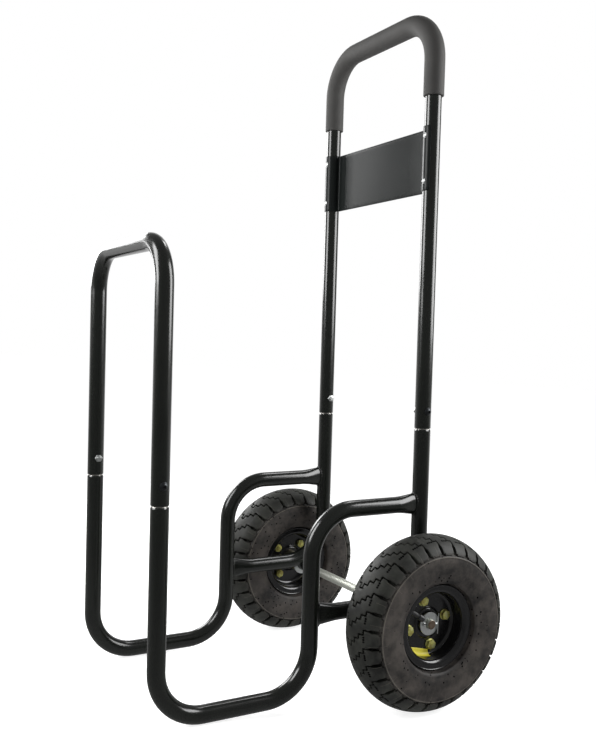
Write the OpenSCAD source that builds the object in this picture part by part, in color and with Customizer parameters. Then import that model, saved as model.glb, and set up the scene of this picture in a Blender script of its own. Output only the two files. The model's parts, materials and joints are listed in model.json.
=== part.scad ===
// Two-wheeled fireside log cart: bent-tube side frames joined by a front hoop, a
// handle hoop, a sheet back panel and a through axle with two air-filled wheels.
// X runs across the cart (+X is its left side), -Y is the front, +Z is up.
// The frame is drawn square about the axle, then tipped until its front bends
// stand on the same floor as the tyres.

/* [Frame tube] */
// Outside diameter of the frame tube
tube_od = 25; // [20:0.5:30]
// Wall thickness of the frame tube
tube_wall = 1.5; // [1:0.1:2.5]
// Distance between the centre planes of the two side frames
side_spacing = 284.5; // [240:0.5:420]

/* [Side frames] */
// Front upright back to the riser, axis to axis
bay_length = 233.5; // [180:0.25:420]
// Riser back to the rear upright, axis to axis
rear_length = 192; // [180:1:300]
// Upper rail above the bottom run, axis to axis
upper_rail_rise = 264.5; // [220:0.25:380]
// Lower rail above the bottom run, axis to axis
lower_rail_rise = 114.25; // [95:0.25:150]
// Centreline radius of the bends in the side tubes
side_bend_r = 68; // [50:1:85]
// Centreline radius of the bend at the foot of each rear leg
leg_bend_r = 74; // [60:1:84]
// Height of a squashed rail end where it is welded to an upright
rail_end_height = 34.5; // [30:0.5:36]
// Width of a squashed rail end
rail_end_width = 12.5; // [9:0.5:16]
// Length over which a rail end changes from round to squashed
rail_end_length = 48; // [30:1:55]
// Radius of the weld bead round a rail end
weld_r = 2; // [1:0.1:3]

/* [Hoops] */
// Joint of the front hoop above the bottom run
front_joint_rise = 289; // [200:1:340]
// Crossbar of the front hoop above the bottom run
front_hoop_rise = 637.75; // [480:0.25:760]
// Centreline radius of the corners of the front hoop
front_hoop_bend_r = 60; // [40:1:100]
// Joint of the handle hoop above the bottom run
rear_joint_rise = 379.5; // [330:0.25:460]
// Crossbar of the handle hoop above the bottom run
handle_rise = 1007.5; // [860:0.25:1100]
// Centreline radius of the corners of the handle hoop
handle_bend_r = 66; // [40:1:110]
// Length of the swaged spigot that enters a hoop leg
spigot_length = 52; // [40:1:80]
// Length of the sloping shoulder below a spigot
shoulder_length = 2.5; // [1:0.5:6]
// Bare gap left between a shoulder and the end of a hoop leg
joint_gap = 1.25; // [0.5:0.25:3]
// Radial clearance of a spigot in a hoop leg
spigot_clearance = 0.1; // [0.05:0.05:0.4]

/* [Joint bolts] */
// Height of a joint bolt above its joint
joint_bolt_rise = 27.5; // [15:0.5:35]
// Diameter of a joint bolt
joint_bolt_d = 6; // [5:0.5:8]
// Diameter of the round head of a joint bolt
joint_head_d = 12; // [10:0.5:15]
// Height of the round head of a joint bolt
joint_head_h = 3.4; // [2:0.2:5]
// Width across the flats of a joint nut
joint_nut_af = 10; // [9:0.5:13]
// Thickness of a joint nut
joint_nut_h = 5; // [4:0.5:7]
// Bolt thread standing out of a joint nut
joint_bolt_tail = 2; // [1:0.5:4]
// Diametral clearance of a bolt in its hole
bolt_clearance = 0.4; // [0.2:0.1:1]

/* [Handle grip] */
// Outside diameter of the foam grip
grip_od = 33; // [30:0.5:38]
// Lower end of the grip above the bottom run
grip_end_rise = 886; // [800:1:930]
// Rounding of the lower end of the grip
grip_edge_r = 2.5; // [1:0.5:3]

/* [Back panel] */
// Lower edge of the back panel above the bottom run
panel_rise = 742.4; // [600:0.2:760]
// Height of the back panel
panel_height = 98; // [60:1:110]
// Thickness of the back panel sheet
panel_t = 1.2; // [0.8:0.1:2]
// How far the flat of the panel lies behind the upright axes
panel_setback = 5; // [3:0.5:8]
// Angle by which each curled end runs on past the front of its upright
panel_wrap = 44; // [20:1:60]
// Bend radius between the flat of the panel and a curled end
panel_bend_r = 3; // [2:0.5:4]
// Distance of a rivet from the nearer edge of the panel
rivet_inset = 14.5; // [10:0.5:20]
// Shank diameter of a blind rivet
rivet_d = 4; // [3:0.2:5]
// Head diameter of a blind rivet
rivet_head_d = 8; // [6:0.5:10]
// Head height of a blind rivet
rivet_head_h = 1.6; // [1:0.2:2.5]

/* [Axle] */
// Diameter of the axle rod
axle_d = 14; // [12:0.5:15]
// Axle below the lower rail
axle_drop = 12; // [12:0.25:20]
// Axle ahead of the rear uprights
axle_lead = 33.25; // [28:0.25:45]
// Outside diameter of the sleeve welded under each leg bend
sleeve_od = 20; // [19:0.5:24]
// Diametral clearance of the axle in its sleeve
sleeve_clearance = 0.2; // [0.1:0.1:0.6]
// Outside diameter of an axle washer
washer_od = 34; // [28:1:38]
// Thickness of an axle washer
washer_t = 1.8; // [1.2:0.2:3]
// End play between a wheel hub and each of its washers
end_play = 0.4; // [0.3:0.1:1]
// Axle rod standing out past the outer washer
axle_tail = 6; // [5:0.5:15]
// Diameter of the eye wire of a split pin
pin_d = 3; // [2:0.2:4]
// Split pin standing out behind the axle, before its legs part
pin_reach = 6; // [4:0.5:8]
// Length of a bent leg of a split pin
pin_leg = 16; // [10:0.5:18]

/* [Wheels] */
// Outside diameter of a tyre over its tread blocks
tyre_od = 260; // [250:1:280]
// Width of a tyre at its widest
tyre_w = 82; // [76:1:90]
// Width of the tread band
tread_w = 60; // [52:1:66]
// Depth of the tread grooves
tread_depth = 4; // [2:0.5:6]
// Fall of the tread from its middle to its edge
tread_fall = 8; // [5:0.5:11]
// Tread blocks in one row
tread_blocks = 36; // [24:1:44]
// Width of the grooves between tread blocks
groove_w = 3; // [2:0.5:4.5]
// Wall thickness of a tyre beside the inner tube
tyre_wall = 5; // [4:0.5:8]
// Wall thickness of an inner tube
inner_tube_wall = 2; // [1.5:0.1:3]
// Diameter of the bead seat of a rim
bead_seat_d = 101.6; // [98:0.2:106]
// Diameter of a rim over its flanges
rim_od = 126; // [122:1:134]
// Width of a rim over its flanges
rim_w = 56; // [52:1:60]
// Thickness of the rim sheet
rim_t = 2.5; // [1.6:0.1:3]
// Turn of the left wheel about the axle, in degrees
left_wheel_angle = 195.7; // [0:0.1:360]
// Turn of the right wheel about the axle, in degrees
right_wheel_angle = 53.1; // [0:0.1:360]

/* [Wheel hubs] */
// Outside diameter of a hub barrel
hub_od = 30; // [28:0.5:32]
// Wall thickness of a hub barrel
hub_wall = 2.5; // [2:0.1:3]
// Length of a hub barrel
hub_length = 56; // [50:1:64]
// Hub barrel standing out past the middle plane of its wheel
hub_nose = 7; // [6:0.5:12]
// Length of a bearing inside a hub barrel
bearing_l = 9; // [7:0.5:14]
// Thickness of the flange of a bearing
bearing_flange_t = 1.2; // [0.8:0.1:2]
// Diametral running clearance of a bearing on the axle
bearing_clearance = 0.08; // [0.04:0.02:0.18]
// Diameter of the circle of rim bolts
rim_pcd = 68; // [64:0.5:72]
// Rim bolts in one wheel
rim_bolts = 4; // [3:1:5]
// Diameter of a rim bolt
rim_bolt_d = 8; // [6:0.5:8]
// Width across the flats of a rim bolt head and nut
rim_bolt_af = 13; // [11:0.5:14]
// Height of the head of a rim bolt
rim_head_h = 5.4; // [4:0.2:6]
// Thickness of a rim nut
rim_nut_h = 6.4; // [5:0.2:7]
// Rim bolt thread standing out of its nut
rim_bolt_tail = 2.5; // [1:0.5:4]

/* [Valves] */
// Diameter of a rubber valve stem
valve_d = 8; // [6:0.5:10]
// Length of a valve stem inside its rim
valve_length = 19.5; // [15:0.5:20]
// Diameter of a valve cap
valve_cap_d = 9.5; // [8:0.5:11]
// Length of a valve cap
valve_cap_l = 10; // [8:0.5:13]
// Diameter of the threaded tip inside a valve cap
valve_tip_d = 5.2; // [4.6:0.2:5.6]
// Distance of the foot of a valve from the middle plane of its wheel
valve_offset = 15.5; // [12:0.5:17]
// Outward lean of a valve, in degrees
valve_lean = 8; // [6:0.5:12]

/* [Hidden] */
$fn = 96;

// Length to the nearest quarter of a millimetre. Such lengths add up exactly, so the
// straight parts and the bends of a bar share their end planes at any size
function grid(length) = round(4 * length) / 4;

// Frame, measured from the axle
tube_r = tube_od / 2;
bore_r = tube_r - tube_wall;
side_x = grid(side_spacing / 2);
rear_y = grid(axle_lead);
riser_y = rear_y - grid(rear_length);
front_y = riser_y - grid(bay_length);
lower_z = grid(axle_drop);
run_z = lower_z - grid(lower_rail_rise);
upper_z = run_z + grid(upper_rail_rise);
front_joint_z = run_z + grid(front_joint_rise);
front_top_z = run_z + grid(front_hoop_rise);
rear_joint_z = run_z + grid(rear_joint_rise);
handle_z = run_z + grid(handle_rise);
grip_end_z = run_z + grid(grip_end_rise);
panel_z = run_z + panel_rise;
spigot_r = bore_r - spigot_clearance;
joint_shank = tube_od + joint_nut_h + joint_bolt_tail;

// Stance: the front bends, tangent to the floor with the tyres
wheel_r = tyre_od / 2;
bend_y = front_y + side_bend_r;
bend_z = run_z + side_bend_r;
bend_reach = sqrt(bend_y * bend_y + bend_z * bend_z);
bend_drop = side_bend_r + tube_r - wheel_r;
stance = atan2(bend_y, bend_z) + acos(bend_drop / bend_reach);
front_reach = front_top_z * sin(stance) - front_y * cos(stance) + tube_r;
axle_y = (front_reach - wheel_r) / 2;

// Wheels: distances along a wheel's own axis, outwards from its middle plane
hub_in = hub_nose - hub_length;
hub_face = hub_nose + bearing_flange_t;
inner_washer = hub_in - bearing_flange_t - end_play - washer_t;
outer_washer = hub_face + end_play;
sleeve_gap = 0.1;
pin_gap = 0.2;
wheel_x = side_x + tube_r + sleeve_gap - inner_washer;
axle_end = wheel_x + outer_washer + washer_t + axle_tail;
pin_x = wheel_x + outer_washer + washer_t + pin_d / 2 + pin_gap;
bearing_r = hub_od / 2 - hub_wall;
seat_r = bead_seat_d / 2;

// Raised collar of a rim half where it grips its hub
collar_rise = 3;
collar_w = 6;
collar_r = hub_od / 2 + collar_w;
collar_edge = 1.5;

// Small gaps that keep touching pieces of a wheel from sharing a face
hub_gap = 0.05;
bead_gap = 0.1;
bead_side_gap = 0.6;
inner_tube_gap = 0.2;
valve_gap = 0.1;

// Clearance of the back panel round the uprights
panel_gap = 0.05;

// Overrun of every cutting shape past the faces it opens
cut = 1;

// Points of an arc about [x, y], from angle a to angle b, leaving out the first few if asked
function arc(x, y, r, a, b, steps = 8, first = 0) =
    [for (i = [first:steps]) [x + r * cos(a + (b - a) * i / steps), y + r * sin(a + (b - a) * i / steps)]];

// Unit normal to the left of a path at one of its points
function path_normal(path, i) =
    let (p = path[max(i - 1, 0)], q = path[min(i + 1, len(path) - 1)], d = q - p)
    [-d[1], d[0]] / norm(d);

// Outline of a sheet of thickness t that follows a path
function sheet(path, t) = concat(
    [for (i = [0:len(path) - 1]) path[i] + path_normal(path, i) * t / 2],
    [for (i = [len(path) - 1:-1:0]) path[i] - path_normal(path, i) * t / 2]);

// Direction, in degrees, from one point of a plane to another
function heading(a, b) = atan2(b[1] - a[1], b[0] - a[0]);

// Part of a leg that a bend at a right-angled corner uses up
function bend_cut(i, last, r) = (i == 0 || i == last) ? 0 : r;

// Round bar with right-angled bends, its axis through the given corners of the XY plane
module bent_bar(corners, bend_r, r) {
    last = len(corners) - 1;
    turn_r = grid(bend_r);
    for (i = [0:last - 1]) {
        a = corners[i];
        b = corners[i + 1];
        start = bend_cut(i, last, turn_r);
        translate([a[0], a[1], 0])
            rotate([0, 90, heading(a, b)])
                translate([0, 0, start])
                    cylinder(h = norm(b - a) - start - bend_cut(i + 1, last, turn_r), r = r);
    }
    for (i = [1:last - 1]) {
        back = (corners[i - 1] - corners[i]) / norm(corners[i - 1] - corners[i]);
        on = (corners[i + 1] - corners[i]) / norm(corners[i + 1] - corners[i]);
        centre = corners[i] + (back + on) * turn_r;
        left_turn = back[1] * on[0] - back[0] * on[1] > 0;
        first = left_turn ? -on : -back;
        translate([centre[0], centre[1], 0])
            rotate([0, 0, atan2(first[1], first[0])])
                rotate_extrude(angle = 90)
                    translate([turn_r, 0])
                        circle(r = r);
    }
}

// Point that lies past a, away from b, by the overrun of a cut
function beyond(a, b) = a + cut * (a - b) / norm(a - b);

// Bent tube: the bore follows the same corners and runs out through both ends
module bent_tube(corners, bend_r) {
    last = len(corners) - 1;
    bore = [for (i = [0:last])
        i == 0 ? beyond(corners[0], corners[1]) :
        i == last ? beyond(corners[last], corners[last - 1]) : corners[i]];
    difference() {
        bent_bar(corners, bend_r, tube_r);
        bent_bar(bore, bend_r, bore_r);
    }
}

// Turns a drawing in the XY plane into the side view of the cart, at side plane x
module in_side_plane(x) {
    translate([x, 0, 0])
        rotate([90, 0, 90])
            children();
}

// Turns a drawing in the XY plane into the front view of the cart, at depth y
module in_front_plane(y) {
    translate([0, y, 0])
        rotate([90, 0, 0])
            children();
}

// Places the frame, drawn about the axle, in its standing position
module stand() {
    translate([0, axle_y, wheel_r])
        rotate([stance, 0, 0])
            children();
}

// Places a wheel piece, drawn about +Z as its outward axis
module at_wheel(side, spin) {
    translate([0, axle_y, wheel_r])
        mirror([side < 0 ? 1 : 0, 0, 0])
            translate([wheel_x, 0, 0])
                rotate([0, 90, 0])
                    rotate([0, 0, spin])
                        children();
}

// ---- squashed and welded rail ends ----

end_rings = 9;
end_sides = 28;
// A rail end starts this far inside its round tube, and this much smaller, so
// that its flat sides come out of the tube's end face
end_tuck = 1;
end_inset = 0.1;

function ease(t) = t * t * (3 - 2 * t);

// One ring of a rail end, at y, with half width b and half height a
function end_ring(y, b, a) =
    [for (i = [0:end_sides - 1]) [b * sin(360 * i / end_sides), y, a * cos(360 * i / end_sides)]];

function ring_faces(rings, sides) = concat(
    [[for (i = [0:sides - 1]) i]],
    [for (k = [0:rings - 2], i = [0:sides - 1])
        [k * sides + i, (k + 1) * sides + i, k * sides + (i + 1) % sides]],
    [for (k = [0:rings - 2], i = [0:sides - 1])
        [k * sides + (i + 1) % sides, (k + 1) * sides + i, (k + 1) * sides + (i + 1) % sides]],
    [[for (i = [sides - 1:-1:0]) (rings - 1) * sides + i]]);

// Rail end that changes from the round tube at y = 0 to an oval at rail_end_length;
// its bore is the same shape drawn smaller by the wall
module rail_end(wall) {
    r = tube_r - wall - end_inset;
    a = rail_end_height / 2 - wall;
    b = rail_end_width / 2 - wall;
    points = [for (k = [0:end_rings - 1])
        let (t = k / (end_rings - 1), e = ease(t))
        each end_ring(k == 0 ? -end_tuck : rail_end_length * t, r + (b - r) * e, r + (a - r) * e)];
    polyhedron(points, ring_faces(end_rings, end_sides));
}

bead_steps = 32;
bead_sides = 6;

// Weld bead that follows a rail end round the face of an upright centred on y = 0
module weld_bead() {
    a = rail_end_height / 2;
    b = rail_end_width / 2;
    points = [for (k = [0:bead_steps - 1])
        let (t = 360 * k / bead_steps, x = b * sin(t), z = a * cos(t),
             out = [x / b / b, z / a / a], n = out / norm(out))
        for (j = [0:bead_sides - 1])
            let (u = weld_r * cos(360 * j / bead_sides), v = weld_r * sin(360 * j / bead_sides))
            [x + n[0] * u, -sqrt(tube_r * tube_r - x * x) - v, z + n[1] * u]];
    faces = [for (k = [0:bead_steps - 1], j = [0:bead_sides - 1])
        let (k2 = (k + 1) % bead_steps, j2 = (j + 1) % bead_sides)
        each [[k * bead_sides + j, k2 * bead_sides + j, k * bead_sides + j2],
              [k * bead_sides + j2, k2 * bead_sides + j, k2 * bead_sides + j2]]];
    polyhedron(points, faces);
}

// ---- frame ----

// Straight part of a swaged leg end: its shoulder and spigot, standing on z
module spigot(z) {
    slope = grid(shoulder_length);
    difference() {
        union() {
            translate([0, 0, z - slope])
                cylinder(h = slope, r1 = tube_r, r2 = spigot_r);
            translate([0, 0, z])
                cylinder(h = spigot_length, r = spigot_r);
        }
        translate([0, 0, z - slope - cut])
            cylinder(h = slope + spigot_length + 2 * cut, r = spigot_r - tube_wall);
    }
}

// Cross hole for a joint bolt through a leg at [y, z]
module joint_hole(y, z) {
    translate([-tube_od, y, z])
        rotate([0, 90, 0])
            cylinder(h = 2 * tube_od, d = joint_bolt_d + bolt_clearance, $fn = 32);
}

// Side tube: front stub, bottom run, riser and upper rail, bent from one length
module side_tube(x) {
    top = front_joint_z - grid(shoulder_length);
    rail = rear_y - grid(rail_end_length);
    color("#1b1e1d")
        translate([x, 0, 0])
            difference() {
                union() {
                    difference() {
                        union() {
                            in_side_plane(0)
                                bent_bar([[front_y, top], [front_y, run_z], [riser_y, run_z],
                                          [riser_y, upper_z], [rail, upper_z]], side_bend_r, tube_r);
                            translate([0, rail, upper_z])
                                rail_end(0);
                        }
                        in_side_plane(0)
                            bent_bar([[front_y, top + cut], [front_y, run_z], [riser_y, run_z],
                                      [riser_y, upper_z], [rail, upper_z]], side_bend_r, bore_r);
                        translate([0, rail, upper_z])
                            rail_end(tube_wall);
                    }
                    translate([0, rear_y, upper_z])
                        weld_bead();
                    translate([0, front_y, 0])
                        spigot(front_joint_z);
                }
                translate([0, rear_y, upper_z - rail_end_height])
                    cylinder(h = 2 * rail_end_height, r = tube_r);
                joint_hole(front_y, front_joint_z + joint_bolt_rise);
            }
}

// Rear leg: lower rail and rear upright, bent from one length
module rear_leg(x) {
    top = rear_joint_z - grid(shoulder_length);
    rail = riser_y + grid(rail_end_length);
    color("#1b1e1d")
        translate([x, 0, 0])
            difference() {
                union() {
                    difference() {
                        union() {
                            in_side_plane(0)
                                bent_bar([[rail, lower_z], [rear_y, lower_z], [rear_y, top]],
                                         leg_bend_r, tube_r);
                            translate([0, rail, lower_z])
                                mirror([0, 1, 0])
                                    rail_end(0);
                        }
                        in_side_plane(0)
                            bent_bar([[rail, lower_z], [rear_y, lower_z], [rear_y, top + cut]],
                                     leg_bend_r, bore_r);
                        translate([0, rail, lower_z])
                            mirror([0, 1, 0])
                                rail_end(tube_wall);
                    }
                    translate([0, riser_y, lower_z])
                        mirror([0, 1, 0])
                            weld_bead();
                    translate([0, rear_y, 0])
                        spigot(rear_joint_z);
                }
                translate([0, riser_y, lower_z - rail_end_height])
                    cylinder(h = 2 * rail_end_height, r = tube_r);
                joint_hole(rear_y, rear_joint_z + joint_bolt_rise);
            }
}

// Inverted U of tube at depth y, from its joints up to its crossbar
module hoop(y, joint_z, top_z, bend_r) {
    foot = joint_z + grid(joint_gap);
    color("#1b1e1d")
        difference() {
            in_front_plane(y)
                bent_tube([[-side_x, foot], [-side_x, top_z], [side_x, top_z], [side_x, foot]], bend_r);
            for (x = [-side_x, side_x])
                translate([x, 0, 0])
                    joint_hole(y, joint_z + joint_bolt_rise);
        }
}

// Panel rivets pass through the front of each upright of the handle hoop
module rivet_places() {
    for (x = [-side_x, side_x], z = [panel_z + rivet_inset, panel_z + panel_height - rivet_inset])
        translate([x, rear_y - tube_r, z])
            rotate([90, 0, 0])
                children();
}

module front_hoop() {
    hoop(front_y, front_joint_z, front_top_z, front_hoop_bend_r);
}

module handle_hoop() {
    difference() {
        hoop(rear_y, rear_joint_z, handle_z, handle_bend_r);
        rivet_places()
            translate([0, 0, -tube_wall - cut])
                cylinder(h = tube_wall + 2 * cut, d = rivet_d, $fn = 32);
    }
}

// Foam grip: one moulded piece over the crossbar and the tops of both legs
module handle_grip() {
    grip_r = grip_od / 2;
    body_z = grip_end_z + grid(grip_edge_r);
    color("#2b2e2f")
        difference() {
            union() {
                in_front_plane(rear_y)
                    bent_bar([[-side_x, body_z], [-side_x, handle_z], [side_x, handle_z],
                              [side_x, body_z]], handle_bend_r, grip_r);
                for (x = [-side_x, side_x])
                    translate([x, rear_y, body_z])
                        rotate_extrude()
                            polygon(concat([[0, cut], [0, -grip_edge_r]],
                                           arc(grip_r - grip_edge_r, 0, grip_edge_r, -90, 0, 6),
                                           [[grip_r, cut]]));
            }
            in_front_plane(rear_y)
                bent_bar([[-side_x, grip_end_z - cut], [-side_x, handle_z], [side_x, handle_z],
                          [side_x, grip_end_z - cut]], handle_bend_r, tube_r);
        }
}

// Back panel: flat sheet whose ends turn forwards and curl round the uprights
module back_panel() {
    mid_r = tube_r + panel_gap + panel_t / 2;
    bend = panel_bend_r + panel_t / 2;
    // where the small bend between flat and curl is centred, beside the upright
    bend_gap = mid_r + bend;
    bend_back = panel_setback - bend;
    bend_in = sqrt(bend_gap * bend_gap - bend_back * bend_back);
    meet = atan2(bend_back, -bend_in);
    half = concat(
        [[0, panel_setback]],
        arc(side_x - bend_in, bend_back, bend, 90, meet - 180, 6),
        arc(side_x, 0, mid_r, meet < 0 ? meet + 360 : meet, 270 + panel_wrap, 24, 1));
    whole = concat([for (i = [len(half) - 1:-1:1]) [-half[i][0], half[i][1]]], half);
    color("#232625")
        difference() {
            translate([0, rear_y, panel_z])
                linear_extrude(height = panel_height)
                    polygon(sheet(whole, panel_t));
            rivet_places()
                translate([0, 0, -cut])
                    cylinder(h = panel_t + 2 * cut, d = rivet_d, $fn = 32);
        }
}

// Blind rivets: domed head outside, shank through both walls, set end inside the tube
module panel_rivets() {
    set_end = 1.5;
    set_d = rivet_d + set_end;
    // the flat set end meets the round bore at its two sides
    bore_sag = bore_r - sqrt(bore_r * bore_r - set_d * set_d / 4);
    set_z = -tube_wall - bore_sag;
    head_z = panel_gap + panel_t;
    color("#d9dbd8")
        rivet_places() {
            translate([0, 0, set_z])
                cylinder(h = head_z - set_z, d = rivet_d, $fn = 32);
            translate([0, 0, head_z])
                dome(rivet_head_d, rivet_head_h);
            translate([0, 0, set_z - set_end])
                cylinder(h = set_end, d = set_d, $fn = 32);
        }
}

// Shallow domed head of diameter d and height h, standing on z = 0
module dome(d, h) {
    ball_r = (d * d / 4 + h * h) / (2 * h);
    intersection() {
        translate([0, 0, h - ball_r])
            sphere(r = ball_r);
        cylinder(h = h + cut, d = d, $fn = 48);
    }
}

// Places a joint bolt piece: +Z points out of the outer side of the leg
module at_joint(side, y, z) {
    translate([side * side_x, y, z])
        rotate([0, side * 90, 0])
            children();
}

module joint_bolts(y, joint_z) {
    color("#2a2c2d")
        stand()
            for (side = [-1, 1])
                at_joint(side, y, joint_z + joint_bolt_rise) {
                    translate([0, 0, tube_r - joint_shank])
                        cylinder(h = joint_shank, d = joint_bolt_d, $fn = 32);
                    translate([0, 0, tube_r])
                        dome(joint_head_d, joint_head_h);
                }
}

module joint_nuts(y, joint_z) {
    color("#c9ccc8")
        stand()
            for (side = [-1, 1])
                at_joint(side, y, joint_z + joint_bolt_rise)
                    translate([0, 0, -tube_r - joint_nut_h])
                        hex_ring(joint_nut_af, joint_nut_h, joint_bolt_d);
}

// Six-sided nut with a bore, standing on z = 0
module hex_ring(af, h, d) {
    difference() {
        cylinder(h = h, d = af / cos(30), $fn = 6);
        translate([0, 0, -cut])
            cylinder(h = h + 2 * cut, d = d, $fn = 32);
    }
}

// ---- axle ----

// Short sleeve under each leg bend, coped against the bend and welded to it
module axle_sleeve(side) {
    length = tube_od;
    color("#1b1e1d")
        stand()
            translate([side * side_x, 0, 0])
                difference() {
                    translate([-tube_r, 0, 0])
                        rotate([0, 90, 0])
                            cylinder(h = length, d = sleeve_od);
                    translate([-tube_r - cut, 0, 0])
                        rotate([0, 90, 0])
                            cylinder(h = length + 2 * cut, d = axle_d + sleeve_clearance);
                    in_side_plane(0)
                        bent_bar([[rear_y - leg_bend_r - cut, lower_z], [rear_y, lower_z],
                                  [rear_y, lower_z + leg_bend_r + cut]], leg_bend_r, tube_r);
                }
}

module axle() {
    chamfer = 1;
    color("#c3c6bd")
        translate([0, axle_y, wheel_r])
            rotate([0, 90, 0])
                difference() {
                    rotate_extrude()
                        polygon([[0, -axle_end], [axle_d / 2 - chamfer, -axle_end],
                                 [axle_d / 2, -axle_end + chamfer], [axle_d / 2, axle_end - chamfer],
                                 [axle_d / 2 - chamfer, axle_end], [0, axle_end]]);
                    for (side = [-1, 1])
                        translate([0, axle_d, side * pin_x])
                            rotate([90, 0, 0])
                                cylinder(h = 2 * axle_d, d = pin_d + bolt_clearance, $fn = 32);
                }
}

module axle_washers() {
    color("#cfd2cc")
        translate([0, axle_y, wheel_r])
            for (side = [-1, 1], at = [inner_washer, outer_washer])
                mirror([side < 0 ? 1 : 0, 0, 0])
                    translate([wheel_x + at, 0, 0])
                        rotate([0, 90, 0])
                            difference() {
                                cylinder(h = washer_t, d = washer_od);
                                translate([0, 0, -cut])
                                    cylinder(h = washer_t + 2 * cut, d = axle_d + bolt_clearance);
                            }
}

// Split pin: an eye at the front, and two legs bent up and down behind the axle
module split_pins() {
    wire_r = pin_d / 4;
    front = -axle_d / 2 - pin_d / 2;
    back = axle_d / 2 + pin_reach;
    eye_r = pin_d;
    color("#d4d6d1")
        translate([0, axle_y, wheel_r])
            for (side = [-1, 1])
                translate([side * pin_x, 0, 0]) {
                    translate([0, front, 0])
                        rotate([-90, 0, 0])
                            cylinder(h = back - front, d = pin_d, $fn = 32);
                    translate([0, front - eye_r, 0])
                        rotate([0, 90, 0])
                            rotate_extrude($fn = 48)
                                translate([eye_r, 0])
                                    circle(r = wire_r, $fn = 24);
                    for (up = [-1, 1])
                        translate([0, back - wire_r, 0])
                            rotate([up > 0 ? 0 : 180, 0, 0])
                                cylinder(h = pin_leg, r = wire_r, $fn = 24);
                }
}

// ---- wheels ----

// Bend radii of the pressed rim sheet, to its middle: dish into wall, wall into
// flange, and the rolled edge of the flange
dish_r = 7;
flange_r = 6;
edge_r = 3;
edge_turn = 120;
// Middle of the sheet at the flange, and the height at which its edge rolls outwards
rim_lip = (rim_w - rim_t) / 2;
edge_z = rim_od / 2 - (edge_r + rim_t / 2) * sin(edge_turn);

// Height of the tread surface above the axis at distance s from the middle plane
function tread_r(s) = wheel_r - tread_fall * pow(2 * s / tread_w, 2);

// Sidewall: a rounded flank, widest at flank_mid, that would close at flank_up above
// it and flank_down below it; all three follow the height between rim and tread
section_h = wheel_r - seat_r;
flank_mid = seat_r + 0.52 * section_h;
flank_up = 0.442 * section_h;
flank_down = 0.53 * section_h;
flank_power = 2.5;
function flank(r) =
    let (part = abs(r - flank_mid) / (r > flank_mid ? flank_up : flank_down))
    tyre_w / 2 * pow(1 - pow(part, flank_power), 1 / flank_power);

// Bead of the tyre: its toe inside, and its heel rounded to clear the rim's corner
bead_w = 6.5;
bead_heel_r = 4.6;
bead_x = rim_w / 2 - rim_t - bead_side_gap;
flange_clear = 1.5;
// Step of the tyre's shoulder below the ends of the tread blocks
shoulder = 1;
flank_steps = 14;
tread_steps = 8;

// One side of the tyre outline: its bead, the neck that hugs the rolled edge of the
// rim, the flank, the shoulder and the tread up to its middle
function tyre_half() =
    let (seat = seat_r + bead_gap, foot = rim_od / 2 + flange_clear, edge = tread_w / 2,
         groove_floor = tread_r(edge) - tread_depth, top = groove_floor - shoulder,
         step = (top - foot) / flank_steps)
    concat([[bead_x - bead_w, seat]],
           arc(bead_x - bead_heel_r, seat + bead_heel_r, bead_heel_r, -90, 0, 5),
           arc(rim_lip + edge_r, edge_z, rim_lip + edge_r - bead_x, 180, 90, 6),
           [for (i = [0:flank_steps]) [flank(foot + step * i), foot + step * i]],
           [[edge + shoulder, groove_floor + shoulder / 2], [edge, tread_r(edge)]],
           [for (i = [tread_steps - 1:-1:1]) [edge * i / tread_steps, tread_r(edge * i / tread_steps)]]);

// Space inside the tyre that the inner tube fills, drawn smaller by inset
module tube_space(inset) {
    bead_height = 12;
    half_w = tyre_w / 2 - tyre_wall;
    top = tread_r(0) - tread_depth - tyre_wall;
    low = seat_r + bead_height;
    mid = (top + low) / 2;
    steps = 48;
    polygon([for (i = [0:steps - 1])
        [(half_w - inset) * cos(360 * i / steps), mid + ((top - low) / 2 - inset) * sin(360 * i / steps)]]);
    throat = bead_x - bead_w - inset;
    base = seat_r + inner_tube_gap + inset;
    translate([-throat, base])
        square([2 * throat, mid - base]);
}

// Revolves an outline drawn as [distance along the axis, radius] about the wheel axis
module spin_about_axle() {
    rotate_extrude()
        rotate([0, 0, 90])
            mirror([0, 1])
                children();
}

// One zigzag cross groove of the tread, flat in the XY plane: x along the axle
module cross_groove() {
    pitch = 2 * PI * wheel_r / tread_blocks;
    row = tread_w / 4;
    step = pitch / 2;
    g = groove_w / 2;
    out = tyre_w / 2;
    polygon([[-out, -g], [-row + g, -g], [-row + g, step - g], [-g, step - g],
             [-g, -g], [row + g, -g], [row + g, step - g], [out, step - g],
             [out, step + g], [row - g, step + g], [row - g, g], [g, g],
             [g, step + g], [-row - g, step + g], [-row - g, g], [-out, g]]);
}

module tyre(side, spin) {
    half = tyre_half();
    outline = concat(half, [[0, wheel_r]], [for (i = [len(half) - 1:-1:0]) [-half[i][0], half[i][1]]]);
    floor_r = tread_r(tread_w / 2) - tread_depth;
    color("#3a3835")
        at_wheel(side, spin)
            difference() {
                spin_about_axle()
                    difference() {
                        polygon(outline);
                        tube_space(0);
                    }
                for (i = [0:tread_blocks - 1])
                    rotate([0, 0, 360 * i / tread_blocks])
                        translate([floor_r, 0, 0])
                            rotate([90, 0, 90])
                                linear_extrude(height = wheel_r - floor_r + cut)
                                    rotate([0, 0, 90])
                                        cross_groove();
            }
}

module inner_tube(side, spin) {
    color("#222222")
        at_wheel(side, spin)
            difference() {
                spin_about_axle()
                    difference() {
                        tube_space(inner_tube_gap);
                        tube_space(inner_tube_gap + inner_tube_wall);
                    }
                valve_place()
                    cylinder(h = 2 * section_h, d = valve_d / 2, center = true, $fn = 32);
            }
}

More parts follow.
